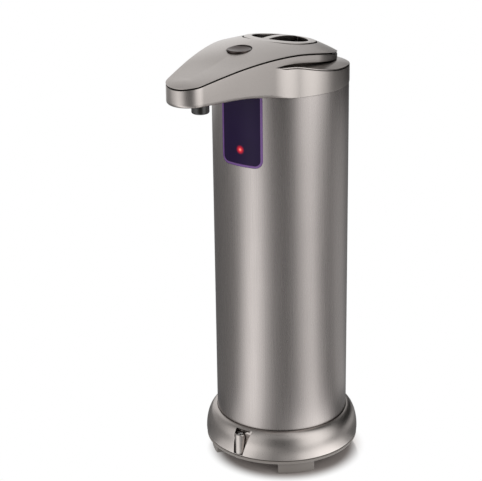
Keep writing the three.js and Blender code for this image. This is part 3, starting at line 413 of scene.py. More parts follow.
def turned(name, profile, steps=256, where=upright(0)):
    """A solid turned from a profile of (radius, height); a profile off the axis closes on itself."""
    stations = []
    for i in range(steps):
        angle = 2 * pi * i / steps
        stations.append([where @ Vector((*polar(r, angle), z)) for r, z in profile])
    on_axis = profile[0][0] == 0 and profile[-1][0] == 0
    return build(name, *loft(stations, profile_closed=not on_axis))


def drill(name, radius, low, high, steps, forward):
    return turned(name, [(0, low), (radius, low), (radius, high), (0, high)], steps, upright(forward))


def cut(obj, tool, operation="DIFFERENCE"):
    """Cuts a mesh with another, or joins them, and removes the tool."""
    step = obj.modifiers.new("cut", "BOOLEAN")
    step.operation = operation
    step.solver = "EXACT"
    step.object = tool
    obj.modifiers.remove(obj.modifiers["crisp"])
    bpy.context.view_layer.update()
    seen = obj.evaluated_get(bpy.context.evaluated_depsgraph_get())
    mesh = bpy.data.meshes.new_from_object(seen)
    obj.modifiers.clear()
    old = obj.data
    obj.data = mesh
    bpy.data.meshes.remove(old)
    bpy.data.objects.remove(tool)
    mesh.name = obj.name
    return finish_mesh(obj)


def soften(obj, inside, width, sharp=radians(40)):
    """Rounds the sharp edges whose two ends lie where inside() says, in millimetres."""
    work = bmesh.new()
    work.from_mesh(obj.data)
    bmesh.ops.remove_doubles(work, verts=work.verts, dist=1e-6)
    chosen = []
    for edge in work.edges:
        if len(edge.link_faces) != 2 or edge.calc_face_angle(0) < sharp:
            continue
        if all(inside(v.co / MM) for v in edge.verts):
            chosen.append(edge)
    bmesh.ops.bevel(
        work, geom=chosen, offset=width * MM, segments=2, profile=0.5,
        affect="EDGES", clamp_overlap=True,
    )
    bmesh.ops.recalc_face_normals(work, faces=work.faces)
    work.to_mesh(obj.data)
    work.free()
    return finish_mesh(obj)


def within(p, loop):
    """Whether a point lies inside a closed loop."""
    hit = False
    for i, a in enumerate(loop):
        b = loop[i - 1]
        if (a[1] > p[1]) != (b[1] > p[1]):
            if p[0] < (b[0] - a[0]) * (p[1] - a[1]) / (b[1] - a[1]) + a[0]:
                hit = not hit
    return hit


def fill(loops, spacing):
    """Triangles that fill the space inside the first loop and outside the others, with inner points."""
    outer = loops[0]
    clearance = 0.6 * spacing
    points, edges = [], []
    for loop in loops:
        start = len(points)
        points.extend(Vector(p) for p in loop)
        edges.extend((start + i, start + (i + 1) % len(loop)) for i in range(len(loop)))

    def filled(p):
        return within(p, outer) and not any(within(p, loop) for loop in loops[1:])

    def clear(p):
        return all((p - Vector(q)).length > clearance for loop in loops for q in loop)

    low = Vector((min(p[0] for p in outer), min(p[1] for p in outer)))
    high = Vector((max(p[0] for p in outer), max(p[1] for p in outer)))
    columns = int((high.x - low.x) / spacing) + 1
    rows = int((high.y - low.y) / spacing) + 1
    for i in range(columns):
        for j in range(rows):
            p = low + Vector(((i + 0.5 * (j % 2)) * spacing, j * spacing))
            if filled(p) and clear(p):
                points.append(p)
    flat, _, triangles, *_ = delaunay_2d_cdt(points, edges, [], 0, FILL_TOLERANCE)
    kept = []
    for triangle in triangles:
        middle = sum((flat[i] for i in triangle), Vector((0, 0))) / 3
        if filled(middle):
            kept.append(tuple(triangle))
    return flat, kept


# Plan of the head: the arm's outline and the collar's, both by the angle round the column

TAPER = asin((HOOD_RADIUS - NOSE_RADIUS) / NOSE_CENTRE)
WALL_ANGLE = pi / 2 - TAPER
NOSE_ANGLE = atan2(NOSE_RADIUS * cos(TAPER), NOSE_CENTRE + NOSE_RADIUS * sin(TAPER))
THROAT_REACH = COLLAR_RADIUS + THROAT_RADIUS
THROAT_ANGLE = WALL_ANGLE - acos((HOOD_RADIUS + THROAT_RADIUS) / THROAT_REACH)
THROAT_CENTRE = polar(THROAT_REACH, THROAT_ANGLE)
THROAT_END = THROAT_CENTRE - THROAT_RADIUS * polar(1, WALL_ANGLE)
JOIN_ANGLE = atan2(THROAT_END.y, THROAT_END.x)


def mirrored(function):
    """Gives the left half of an outline from the right half."""
    def both(angle):
        point, normal = function(abs(angle))
        if angle < 0:
            return Vector((point.x, -point.y)), Vector((normal.x, -normal.y))
        return point, normal
    return both


@mirrored
def arm_outline(angle):
    way = polar(1, angle)
    if angle >= WALL_ANGLE:
        return HOOD_RADIUS * way, way
    if angle > NOSE_ANGLE:
        return HOOD_RADIUS / cos(angle - WALL_ANGLE) * way, polar(1, WALL_ANGLE)
    across = NOSE_CENTRE * sin(angle)
    reach = NOSE_CENTRE * cos(angle) + sqrt(max(NOSE_RADIUS ** 2 - across ** 2, 0))
    return reach * way, (reach * way - Vector((NOSE_CENTRE, 0))).normalized()


@mirrored
def collar_outline(angle):
    way = polar(1, angle)
    if angle >= THROAT_ANGLE:
        return COLLAR_RADIUS * way, way
    if angle <= JOIN_ANGLE:
        return arm_outline(angle)
    along = THROAT_REACH * cos(angle - THROAT_ANGLE)
    reach = along - sqrt(along ** 2 - THROAT_REACH ** 2 + THROAT_RADIUS ** 2)
    return reach * way, (THROAT_CENTRE - reach * way).normalized()


def head_angles(nose=30, side=84, rear=96):
    """Angles round the column, close together at the nose and even along the arm's walls."""
    half = []
    for i in range(nose):
        turn = WALL_ANGLE * i / nose
        half.append(atan2(NOSE_RADIUS * sin(turn), NOSE_CENTRE + NOSE_RADIUS * cos(turn)))
    start = NOSE_RADIUS * polar(1, WALL_ANGLE) + Vector((NOSE_CENTRE, 0))
    end = HOOD_RADIUS * polar(1, WALL_ANGLE)
    for i in range(side):
        spot = start.lerp(end, i / side)
        half.append(atan2(spot.y, spot.x))
    for i in range(rear + 1):
        half.append(WALL_ANGLE + (pi - WALL_ANGLE) * i / rear)
    return half + [-a for a in reversed(half[1:-1])]


def quarter(steps=4):
    """Pairs that go from (1, 0) to (0, 1) round a quarter turn: share of inset, share of rise."""
    turns = [pi / 2 * k / steps for k in range(steps + 1)]
    return [(1 - sin(turn), 1 - cos(turn)) for turn in turns]


def bend(spot, normal, height, width, up, steps=3):
    """A rounded edge of the head, from its flat side out to its wall; up is 1 or -1."""
    pairs = quarter(steps)
    return [over(spot - normal * width * inset, height + up * width * rise) for inset, rise in pairs]


def notch_opening(forward):
    """How far the notch between the deck and the band is open: 0 ahead of its tip, 1 well behind it."""
    return smoothstep((NOTCH_TIP - forward) / NOTCH_RAMP)


# The casing: collar, arm walls and the band over the notch, in one skin

def casing_station(angle):
    arm, arm_normal = arm_outline(angle)
    ring, ring_normal = collar_outline(angle)
    opening = notch_opening(arm.x)
    seam = seam_line(arm.x) - SEAM_GAP / 2
    if opening > 0:
        deck = deck_line(ring.x)
        band = max(band_line(arm.x), deck)
    else:
        deck = band = seam_line(arm.x) - (seam_line(NOTCH_TIP) - band_line(NOTCH_TIP))
    root = smoothstep((arm.x - BELLY_START - FILLET_START) / FILLET_RAMP)
    fillet = COLLAR_FILLET + (BELLY_FILLET - COLLAR_FILLET) * root
    inner = COLLAR_INNER * polar(1, angle)
    edge = ring - ring_normal * fillet
    station = [over(spot, belly_line(spot.x)) for spot in between(inner, edge, 9)]
    station += bend(ring, ring_normal, belly_line(ring.x), fillet, 1, steps=5)[1:]
    top = deck - (DECK_EDGE + RIM_GROOVE) * opening
    slot_floor = deck - (DECK_THICKNESS + SLOT_GAP) * opening
    rim = ring - ring_normal * RIM_WIDTH * opening
    slot = arm - arm_normal * SLOT_DEPTH * opening
    inside = arm - arm_normal * CASING_WALL
    station += reversed(bend(ring, ring_normal, top, RIM_ROUNDING * opening, -1))
    station += [over(rim, top), over(rim, slot_floor), over(slot, slot_floor), over(slot, band)]
    station += bend(arm, arm_normal, band, EDGE_ROUNDING * opening, 1)
    station += reversed(bend(arm, arm_normal, seam, EDGE_ROUNDING, -1))
    station.append(over(inside, seam))
    rear_level = deck - DECK_THICKNESS - CASING_FLOOR
    for spot in between(inside, inner, 4):
        front_level = belly_line(spot.x) + CASING_FLOOR
        station.append(over(spot, opening * rear_level + (1 - opening) * front_level))
    return station


def make_casing():
    casing = build("casing_shell", *loft([casing_station(angle) for angle in head_angles()]))
    hole = drill("nozzle_hole", NOZZLE_HOLE, nozzle_low.z, nozzle_high.z, SMALL_TURNS, NOZZLE_FORWARD)
    return cut(casing, hole)


def deck_station(angle):
    arm, arm_normal = arm_outline(angle)
    ring, ring_normal = collar_outline(angle)
    opening = notch_opening(arm.x)
    edge = ring - ring_normal * DECK_SIDE_GAP
    shelf = ring - ring_normal * (RIM_WIDTH - RIM_OVERLAP) * opening
    inner = arm - arm_normal * (SLOT_DEPTH - SLOT_GAP) * opening
    rounding = DECK_ROUNDING * opening
    slot = band_line(inner.x) - deck_line(inner.x)
    crown = DECK_RISE_SHARE * slot * opening * (1 - smoothstep(inner.x / DECK_RISE_REACH))
    station = []
    for k, spot in enumerate(between(inner, edge - ring_normal * rounding, DECK_STEPS)):
        rise = crown * (1 - (k / DECK_STEPS) ** DECK_RISE_POWER)
        station.append(over(spot, deck_line(spot.x) + rise))
    level = deck_line(edge.x)
    station += bend(edge, ring_normal, level, rounding, -1, steps=4)[1:]
    low = level - DECK_EDGE * opening - HAIR
    station += [over(edge, low), over(shelf, low)]
    station.append(over(shelf, level - DECK_THICKNESS * opening - 2 * HAIR))
    station.append(over(inner, deck_line(inner.x) - DECK_THICKNESS * opening - 2 * HAIR))
    return station


def make_deck():
    """The crescent panel on the collar's rim, with a dark groove under its edge."""
    angles = [a for a in head_angles() if arm_outline(a)[0].x < NOTCH_TIP - DECK_START]
    first = next(i for i, a in enumerate(angles) if a > 0)
    return prism("deck_panel", [deck_station(angle) for angle in angles[first:] + angles[:first]])


# The hood

def dome_height(forward, side, lift=0.0):
    """The hood's surface over a point of the plan."""
    side = abs(side)
    spine = min(max(forward - side * tan(TAPER), 0), NOSE_CENTRE)
    radius = HOOD_RADIUS + (NOSE_RADIUS - HOOD_RADIUS) * spine / NOSE_CENTRE
    away = Vector((forward - spine, side))
    share = min(away.length / radius, 1)
    outline = spine + away.x / away.length * radius if away.length > 0 else spine
    edge = seam_line(outline) + SEAM_GAP / 2 + lift
    return edge + (crest_line(spine) - edge) * (1 - share ** DOME_POWER)


CAP_AXIS = Vector((0, sin(CAP_LEAN), cos(CAP_LEAN)))
ON_CAP = Matrix.Translation(put(0, 0, CAP_SEAT)) @ Matrix.Rotation(-CAP_LEAN, 4, "X")


def cap_ray(angle, radius, tries=12):
    """The point where a line along the cap's axis, at a radius and angle, meets the hood."""
    start = ON_CAP @ Vector((radius * sin(angle), -radius * cos(angle), 0))
    reach = 0.0
    for _ in range(tries):
        spot = start + CAP_AXIS * reach
        reach += (dome_height(AXIS_Y - spot.y, spot.x, EDGE_ROUNDING) - spot.z) * CAP_AXIS.z
    return start + CAP_AXIS * reach


def hood_station(angle):
    arm, arm_normal = arm_outline(angle)
    hole = CAP_RADIUS + CAP_GAP
    start = cap_ray(angle, hole + CAP_HOLE_LIP)
    inner = Vector((AXIS_Y - start.y, start.x))
    outer = arm - arm_normal * EDGE_ROUNDING
    bottom = seam_line(arm.x) + SEAM_GAP / 2
    station = bend(arm, arm_normal, bottom, EDGE_ROUNDING, 1, steps=4)[:-1]
    station.append(over(arm, dome_height(arm.x, arm.y, EDGE_ROUNDING)))
    for k, spot in enumerate(between(outer, inner, 46)):
        dip = EDGE_ROUNDING * DOME_DIP_SHARE if k == 0 else 0
        station.append(over(spot, dome_height(spot.x, spot.y, EDGE_ROUNDING) - dip))
    wall = cap_ray(angle, hole)
    station.append(wall - CAP_AXIS * CAP_HOLE_LIP)
    station.append(wall - CAP_AXIS * (ROOF_THICKNESS + CAP_HOLE_LIP))
    for spot in between(inner, arm - arm_normal * ROOF_RIM, 8):
        station.append(over(spot, dome_height(spot.x, spot.y) - ROOF_THICKNESS))
    station[-1].z = bottom
    return station


def make_hood():
    hood = build("hood", *loft([hood_station(angle) for angle in head_angles()]))
    radius = BUTTON_RADIUS + BUTTON_GAP
    top = crest_line(BUTTON_FORWARD)
    middle = put(BUTTON_FORWARD, 0, 0)
    cut(hood, drill("button_hole", radius, top - 6, top + 6, HALF_TURNS, BUTTON_FORWARD))

    def at_hole(spot):
        away = (spot - middle).to_2d().length
        return abs(away - radius) < BUTTON_HOLE_TOLERANCE and spot.z > top - BUTTON_HOLE_BAND

    return soften(hood, at_hole, width=0.15)


# The refill cap and the button

def pocket_loop(inset, sign, steps=18):
    """Half-moon outline of a finger pocket, drawn in by an inset; the corners stay round."""
    radius = POCKET_RADIUS - inset
    chord = BAR_WIDTH / 2 + inset
    corner = max(POCKET_CORNER - inset, POCKET_LEAST_CORNER)
    centre_x = chord + corner
    centre_y = sqrt((radius - corner) ** 2 - centre_x ** 2)
    swing = atan2(centre_y, centre_x)
    loop = between(Vector((chord, centre_y)), Vector((chord, -centre_y)), steps)[:-1]
    loop += arc((centre_x, -centre_y), corner, pi, pi - swing, steps // 2, last=False)
    loop += arc((0, 0), radius, -swing, 2 * swing, 3 * steps, last=False)
    loop += arc((centre_x, centre_y), corner, swing, pi - swing, steps // 2, last=False)
    return [Vector((sign * x, y * POCKET_LENGTH_SHARE)) for x, y in loop]


def crown(radius):
    """The cap's top over its rim: a low dome, then a short slope down to the edge."""
    if radius < POCKET_RADIUS:
        return CAP_BROW + CAP_CROWN * (1 - (radius / POCKET_RADIUS) ** 2)
    return CAP_BROW * (1 - ((radius - POCKET_RADIUS) / (CAP_RADIUS - POCKET_RADIUS)) ** 2)


def pocket_rows(sign):
    """The wall of a finger pocket, from its rounded upper edge to its floor."""
    top = pocket_loop(0, sign)
    rows = []
    for inset, rise in quarter(4):
        loop = pocket_loop(POCKET_EDGE * (1 - inset), sign)
        rows.append([Vector((p.x, p.y, crown(q.length) - POCKET_EDGE * rise)) for p, q in zip(loop, top)])
    for inset, rise in quarter(4):
        loop = pocket_loop(POCKET_EDGE + POCKET_FILLET * rise, sign)
        rows.append([Vector((p.x, p.y, POCKET_FILLET * inset - POCKET_DEPTH)) for p in loop])
    return rows


def cap_side():
    """The cap's side seen in section: rim, cup, the groove of the seal and the plug."""
    rim_radius = CAP_RADIUS - CAP_EDGE
    side = arc((rim_radius, crown(rim_radius) - CAP_EDGE), CAP_EDGE, pi / 2, -pi / 2, steps=5)
    seal_top = -(CAP_CUP_DEPTH + SEAL_SECTION)
    seal_bottom = seal_top - SEAL_SECTION
    return side + [Vector(spot) for spot in (
        (CAP_RADIUS, -CAP_LIP),
        (CAP_CUP, -CAP_LIP),
        (CAP_CUP, -CAP_CUP_DEPTH),
        (CAP_PLUG, -CAP_CUP_DEPTH),
        (CAP_PLUG, seal_top),
        (CAP_PLUG - SEAL_BITE, seal_top),
        (CAP_PLUG - SEAL_BITE, seal_bottom),
        (CAP_PLUG, seal_bottom),
        (CAP_PLUG, -CAP_PLUG_DEPTH + CAP_PLUG_CHAMFER),
        (CAP_PLUG - CAP_PLUG_CHAMFER, -CAP_PLUG_DEPTH),
        (0, -CAP_PLUG_DEPTH),
    )]


def make_cap():
    """The refill cap: a crowned top with two half-moon pockets, and the plug under it."""
    angles = [2 * pi * i / CAP_TURNS for i in range(CAP_TURNS)]
    rim = [polar(CAP_RADIUS - CAP_EDGE, angle) for angle in angles]
    flat, faces = fill([rim, pocket_loop(0, 1), pocket_loop(0, -1)], spacing=1.1)
    points = [Vector((p.x, p.y, crown(p.length))) for p in flat]

    def add_skin(stations):
        start = len(points)
        more, skins = loft(stations, ring_closed=False)
        points.extend(more)
        faces.extend(tuple(start + i for i in face) for face in skins)

    for sign in (1, -1):
        rows = pocket_rows(sign)
        add_skin(rows)
        start = len(points)
        floor = rows[-1]
        points.append(sum(floor, Vector()) / len(floor))
        points.extend(floor)
        for i in range(len(floor)):
            faces.append((start, start + 1 + i, start + 1 + (i + 1) % len(floor)))
    add_skin([[Vector((*polar(spot.x, angle), spot.y)) for angle in angles] for spot in cap_side()])
    return build("refill_cap", [ON_CAP @ p for p in points], faces, sharp=radians(50))


def make_button():
    top = crest_line(BUTTON_FORWARD) + BUTTON_RISE
    face = []
    for k in range(BUTTON_DISH_STEPS + 1):
        share = k / BUTTON_DISH_STEPS
        face.append((BUTTON_RADIUS * BUTTON_DISH_SHARE * share, top - BUTTON_DISH * (1 - share * share)))
    side = profile_of([
        (*face[-1], 0),
        (BUTTON_RADIUS, top, BUTTON_EDGE),
        (BUTTON_RADIUS, top - BUTTON_SKIRT, BUTTON_SKIRT_EDGE),
        (0, top - BUTTON_SKIRT, 0),
    ])
    return turned("button_cap", face + side[1:], HALF_TURNS, upright(BUTTON_FORWARD))


def make_nozzle():
    profile = profile_of(NOZZLE_ROWS, closed=True, steps=6, base=nozzle_low.z)
    return turned("nozzle_tip", profile, HALF_TURNS, upright(NOZZLE_FORWARD))


# The column and its window

def window_outline(inset, top):
    """Outline of the window seen from the front, as (side, height), drawn in by an inset."""
    half = WINDOW_HALF - inset
    low = WINDOW_BOTTOM + inset
    corner = WINDOW_CORNER - inset
    right = between(Vector((half, top)), Vector((half, low + corner)), steps=20)[:-1]
    right += arc((half - corner, low + corner), corner, 0, -pi / 2, steps=12)
    bottom = between(Vector((half - corner, low)), Vector((corner - half, low)), steps=16)[1:-1]
    left = [Vector((-p.x, p.y)) for p in reversed(right)]
    close = between(Vector((-half, top)), Vector((half, top)), steps=16)[1:-1]
    return right + bottom + left + close


def on_tube(side, height, radius):
    return put(sqrt(radius ** 2 - side ** 2), side, height)


def make_tube():
    """The steel tube with the window's opening; the collar covers its upper end."""
    top = COLLAR_BOTTOM + TUBE_LAP
    inner = TUBE_RADIUS - TUBE_WALL
    tube = turned("tube_shell", profile_of((
        (inner, BASE_TOP, 0), (TUBE_RADIUS, BASE_TOP, TUBE_EDGE / 4),
        (TUBE_RADIUS, top, TUBE_EDGE), (inner, top, 0),
    ), closed=True, steps=3))
    outline = window_outline(WINDOW_HOLE_INSET, top + 5)
    walls = [[put(TUBE_RADIUS + reach, p.x, p.y) for p in outline] for reach in (4, -12)]
    return cut(tube, prism("window_hole", walls))


def make_bezel():
    """The purple rim: a thin rounded frame that stands a little proud of the steel."""
    outer = TUBE_RADIUS + BEZEL_PROUD
    inner = TUBE_RADIUS - TUBE_WALL
    section = profile_of((
        (BEZEL_BEVEL, inner, 0),
        (BEZEL_BEVEL, outer, 0.3),
        (BEZEL_WIDTH, outer - BEZEL_BEVEL, 0.25),
        (BEZEL_WIDTH, inner, 0),
    ), closed=True, steps=3)
    loops = [(window_outline(inset, WINDOW_TOP), radius) for inset, radius in section]
    stations = []
    for i in range(len(loops[0][0])):
        stations.append([on_tube(loop[i].x, loop[i].y, radius) for loop, radius in loops])
    return build("bezel", *loft(stations))


def make_window():
    outline = window_outline(BEZEL_WIDTH + WINDOW_GAP, WINDOW_TOP)
    flat, triangles = fill([outline], spacing=1.4)
    outer = TUBE_RADIUS - WINDOW_SINK
    points = [on_tube(p.x, p.y, radius) for radius in (outer, outer - WINDOW_THICKNESS) for p in flat]
    shift = len(flat)
    faces = list(triangles) + [tuple(shift + i for i in reversed(t)) for t in triangles]
    count = len(outline)
    faces += [(i, (i + 1) % count, shift + (i + 1) % count, shift + i) for i in range(count)]
    return build("window_glass", points, faces)


# The foot

def notch_section(height):
    """Plan of the front notch at a height: a pocket behind the boss and a slanted face beside it."""
    share = (height - BOSS_ROOT) / (NOTCH_TOP - BOSS_ROOT)
    wide = NOTCH_BOTTOM_SIDE + (NOTCH_TOP_SIDE - NOTCH_BOTTOM_SIDE) * share
    lift = max((height - RING_WAIST) / (RING_TOP - RING_WAIST), 0)
    rim = RING_SHOULDER + (BASE_RADIUS - RING_SHOULDER) * sqrt(1 - lift ** 2)
    edge = sqrt(rim ** 2 - wide ** 2)
    near = NOTCH_NEAR_SIDE if height > BOSS_TOP - SCREW_SINK else NOTCH_LOW_SIDE
    inner = POCKET_INNER_SIDE if height > BOSS_TOP + 0.5 else NOTCH_INNER_SIDE
    return [put(forward, side, height) for forward, side in (
        (NOTCH_REAR, -near), (NOTCH_FRONT, -near), (NOTCH_FRONT, wide), (edge - NOTCH_LIP, wide),
        (FACET_REAR, inner), (NOTCH_REAR, inner),
    )]


def in_notch(spot):
    beside = abs(spot.x) < NOTCH_TOP_SIDE + 0.5
    return beside and spot.y < AXIS_Y - NOTCH_REAR + 0.5 and spot.z > RING_BOTTOM + 0.4


# Where the screw's pocket gets its painted shade
def in_pocket(spot):
    deep = NOTCH_REAR - 0.2 < AXIS_Y - spot.y < FACET_REAR + 0.2
    beside = -NOTCH_NEAR_SIDE - 0.1 < spot.x < POCKET_INNER_SIDE + 0.1
    return deep and beside and BOSS_TOP - SCREW_SINK - 0.1 < spot.z < NOTCH_TOP + 0.05


def make_base():
    """The foot ring with its front notch, the screw's boss and its seat."""
    curve = []
    for k in range(RING_STEPS + 1):
        turn = pi / 2 * k / RING_STEPS
        curve.append((
            RING_SHOULDER + (BASE_RADIUS - RING_SHOULDER) * cos(turn),
            RING_WAIST + (RING_TOP - RING_WAIST) * sin(turn),
        ))
    ring = turned("base_shell", [
        (RING_SLEEVE, RING_BOTTOM),
        (BASE_RADIUS - 0.55, RING_BOTTOM),
        (BASE_RADIUS - 0.22, RING_BOTTOM + 0.1),
        (BASE_RADIUS - 0.08, RING_BOTTOM + 0.4),
        *curve,
        (RING_SHOULDER - 0.1, RING_TOP - 0.1),
        (RING_SHOULDER - 0.1, RING_TOP - 0.5),
        (TUBE_RADIUS - 0.95, RING_TOP - 0.8),
        (TUBE_RADIUS - 1, RING_SLEEVE_TOP),
        (RING_SLEEVE, RING_SLEEVE_TOP),
    ])
    heights = [BOSS_ROOT + (NOTCH_TOP - BOSS_ROOT) * (k / NOTCH_STEPS) for k in range(NOTCH_STEPS + 1)]
    cut(ring, prism("notch_tool", [notch_section(height) for height in heights]))
    cut(ring, turned("boss", profile_of((
        (0, BOSS_BASE, 0), (BOSS_RADIUS, BOSS_BASE, 0.1), (BOSS_RADIUS, BOSS_TOP, 0.45), (0, BOSS_TOP, 0),
    )), SMALL_TURNS, upright(SCREW_REACH)), "UNION")
    seat = BOSS_TOP - SCREW_SINK
    cut(ring, drill("screw_seat", SCREW_BORE, seat, BOSS_TOP + 1, SCREW_TURNS, SCREW_REACH))
    soften(ring, in_notch, width=0.16)
    # Painted shade: the pocket's faces behind the boss take a dark brown paint.
    ring.data.materials.append(ring_paint)
    ring.data.materials.append(pocket_shade_paint)
    for face in ring.data.polygons:
        if in_pocket(face.center / MM):
            face.material_index = 1
    return ring


def make_screw():
    seat = BOSS_TOP - SCREW_SINK + SCREW_GAP
    top = seat + SCREW_HEIGHT
    foot = COVER_BOTTOM + 0.3
    head = turned("screw_pan", profile_of((
        (0, foot, 0), (SCREW_SHANK, foot, 0.2), (SCREW_SHANK, seat, 0),
        (SCREW_HEAD, seat, 0.1), (SCREW_HEAD, top, 0.7), (0, top, 0),
    )), SCREW_TURNS, upright(SCREW_REACH))
    for turn in (0, pi / 2):
        place = upright(SCREW_REACH) @ Matrix.Rotation(turn + CROSS_TURN, 4, "Z")
        ends = [[place @ Vector((x * CROSS_REACH, y * CROSS_HALF_WIDTH, z)) for x, y in SQUARE]
                for z in (top - CROSS_DEPTH, top + 1)]
        cut(head, prism("cross_tool", ends))
    return head


def make_cover():
    cover = turned("cover_plate", profile_of(COVER_ROWS))
    tab = turned("tab", profile_of((
        (0, COVER_BOTTOM, 0), (TAB_RADIUS, COVER_BOTTOM, 0.5),
        (TAB_RADIUS, COVER_TOP, 0.35), (0, COVER_TOP, 0),
    )), SMALL_TURNS, upright(SCREW_REACH))
    return cut(cover, tab, "UNION")


def make_pad(name, angle):
    """A foot pad: a sector with rounded corners and a softened lower edge."""
    ends = (0, PAD_STEPS, PAD_STEPS + 1, 2 * PAD_STEPS + 1)
    radii = [PAD_CORNER if k in ends else 0 for k in range(2 * PAD_STEPS + 2)]

    def outline(inset):
        sweep = PAD_SWEEP / 2 - inset / PAD_RADIUS
        corners = arc((0, 0), PAD_RADIUS - inset, angle - sweep, 2 * sweep, PAD_STEPS)
        corners += arc((0, 0), PAD_RADIUS - PAD_WIDTH + inset, angle + sweep, -2 * sweep, PAD_STEPS)
        return rounded(corners, radii)

    levels = [(0.5, 0), (0.15, 0.12), (0, 0.5), (0, COVER_BOTTOM)]
    return prism(name, [[over(p, z) for p in outline(inset)] for inset, z in levels])


def make_battery(index):
    """A cell with its nub; every second one stands upside down."""
    low, high = box_mm(f"battery_{index}")
    middle = (low + high) / 2
    radius = (high.x - low.x) / 2
    up = 1 if index % 2 else -1
    length = high.z - low.z
    profile = profile_of((
        (0, 0.2, 0), (3.6, 0.2, 0.1), (3.9, 0, 0.1), (radius, 0, 0.6), (radius, length - 1, 0.5),
        (4.4, length - 1.1, 0.1), (2.2, length - 1.1, 0.1), (1.9, length - 1, 0), (1.9, length, 0.3),
        (0, length, 0),
    ))
    base = low.z if up > 0 else high.z
    where = Matrix.Translation((middle.x, middle.y, base)) @ Matrix.Diagonal((1, 1, up, 1))
    return turned(f"cell_{index}", profile, SMALL_TURNS, where)


# Nodes of the materials and of the studio

# Warm brown of the painted shade in gaps and inner corners
CREVICE_SHADE_COLOR = (0.02, 0.014, 0.011, 1)
LEVEL_SCALE = 2


class Graph:
    """The nodes of a material or of the world, with short ways to add and join them."""

    def __init__(self, owner, output=None):
        self.owner = owner
        owner.use_nodes = True
        self.nodes = owner.node_tree.nodes
        self.links = owner.node_tree.links
        if output:
            self.nodes.clear()
            self.last = self.nodes.new(output)
        else:
            self.last = self.nodes["Principled BSDF"]

    def fill_in(self, node, inputs):
        """Sets each input of a node to a value or joins it to another node's output."""
        for name, value in inputs.items():
            if isinstance(value, bpy.types.NodeSocket):
                self.links.new(value, node.inputs[name])
            else:
                node.inputs[name].default_value = value

    def add(self, kind, inputs=None, **settings):
        node = self.nodes.new(kind)
        for name, value in settings.items():
            setattr(node, name, value)
        self.fill_in(node, inputs or {})
        return node

    def end(self, inputs):
        """Fills in the shader or the output node, which the others lead to, and gives the owner."""
        self.fill_in(self.last, inputs)
        return self.owner

    def place(self):
        return self.add("ShaderNodeTexCoord").outputs["Object"]

    def length(self, vector):
        return self.add("ShaderNodeVectorMath", {0: vector}, operation="LENGTH").outputs["Value"]

    def ranged(self, value, start, stop, low=0, high=1, curve="LINEAR"):
        """Maps a value from one range to another."""
        inputs = {"Value": value, "From Min": start, "From Max": stop, "To Min": low, "To Max": high}
        return self.add("ShaderNodeMapRange", inputs, interpolation_type=curve).outputs["Result"]

    def zone(self, value, start, stop):
        """0 up to the start, 1 from the stop on, and a soft step between them."""
        return self.ranged(value, start, stop, curve="SMOOTHSTEP")

    def mixed(self, share, first, second):
        inputs = {"Factor": share, "A": first, "B": second}
        return self.add("ShaderNodeMix", inputs, data_type="RGBA").outputs["Result"]

    def either(self, share, first, second):
        """One shader that turns into another."""
        inputs = {"Fac": share, 1: first, 2: second}
        return self.add("ShaderNodeMixShader", inputs).outputs["Shader"]

    def grain(self, scale, detail=2, stretch=(1, 1, 1)):
        """Noise in the object's own space, with millimetre-scale grain."""
        mapping = self.add("ShaderNodeMapping", {"Vector": self.place(), "Scale": stretch})
        inputs = {"Vector": mapping.outputs["Vector"], "Scale": scale, "Detail": detail}
        return self.add("ShaderNodeTexNoise", inputs).outputs["Fac"]

    def shade(self, source, color, dark, light):
        """A colour that varies with a grain between two shares of itself."""
        darker = (*(dark * c for c in color), 1)
        lighter = (*(min(light * c, 1) for c in color), 1)
        return self.mixed(source, darker, lighter)

    def gloss(self, source, roughness, change):
        """Roughness that varies with the middle of a grain's range."""
        return self.ranged(source, start=0.3, stop=0.7, low=roughness - change, high=roughness + change)

    def bump(self, source, strength, distance):
        inputs = {"Height": source, "Strength": strength, "Distance": distance}
        return self.add("ShaderNodeBump", inputs).outputs["Normal"]

    def crevice_shade(self, color, reach, depth):
        """Paints shade: darkens a colour to a warm brown in narrow gaps and inner corners, as far as an
        ambient occlusion test finds them shut in.
        """
        shelter = self.add("ShaderNodeAmbientOcclusion", {"Distance": reach}, samples=8)
        openness = self.ranged(shelter.outputs["AO"], start=0.4, stop=0.96, low=depth)
        return self.mixed(openness, CREVICE_SHADE_COLOR, color)

    def levels(self, turn, levels):
        """Brightness by angle, scaled down so that bright panels fit in a colour ramp."""
        node = self.add("ShaderNodeValToRGB", {"Fac": turn})
        node.color_ramp.interpolation = "EASE"
        stops = node.color_ramp.elements
        stops[0].position, stops[1].position = 0, 1
        for angle, _ in levels[1:-1]:
            stops.new(0.5 + angle / 360)
        for stop, (_, level) in zip(stops, levels):
            stop.color = (*[level / LEVEL_SCALE] * 3, 1)
        return node.outputs["Color"]


def new_graph(name, output=None):
    return Graph(bpy.data.materials.new(name), output)


# Materials: grain scales are per metre, distances in metres

def metal(name, color, roughness, fine=2600, strength=0.05, stretch=(1, 1, 1), crevice_shade=0.0, depth=0.04):
    """Satin metal or metal paint: fine grain, small changes of gloss and of shade, and painted shade in gaps
    when a reach for it is given.
    """
    graph = new_graph(name)
    wide = graph.grain(60)
    tight = graph.grain(fine, 2, stretch)
    shade = graph.shade(wide, color, 0.96, 1.03)
    # Painted shade: darker in gaps and inner corners
    if crevice_shade:
        shade = graph.crevice_shade(shade, crevice_shade, depth)
    return graph.end({
        "Metallic": 1,
        "Base Color": shade,
        "Roughness": graph.gloss(tight, roughness, 0.03),
        "Normal": graph.bump(tight, strength, distance=0.00004),
    })


def plastic(name, color, roughness, fine=1500, strength=0.1, coat=0.0):
    graph = new_graph(name)
    wide = graph.grain(80)
    return graph.end({
        "Base Color": graph.shade(wide, color, 0.88, 1.1),
        "Roughness": graph.gloss(wide, roughness, 0.04),
        "Coat Weight": coat,
        "Normal": graph.bump(graph.grain(fine, 3), strength, distance=0.00005),
    })


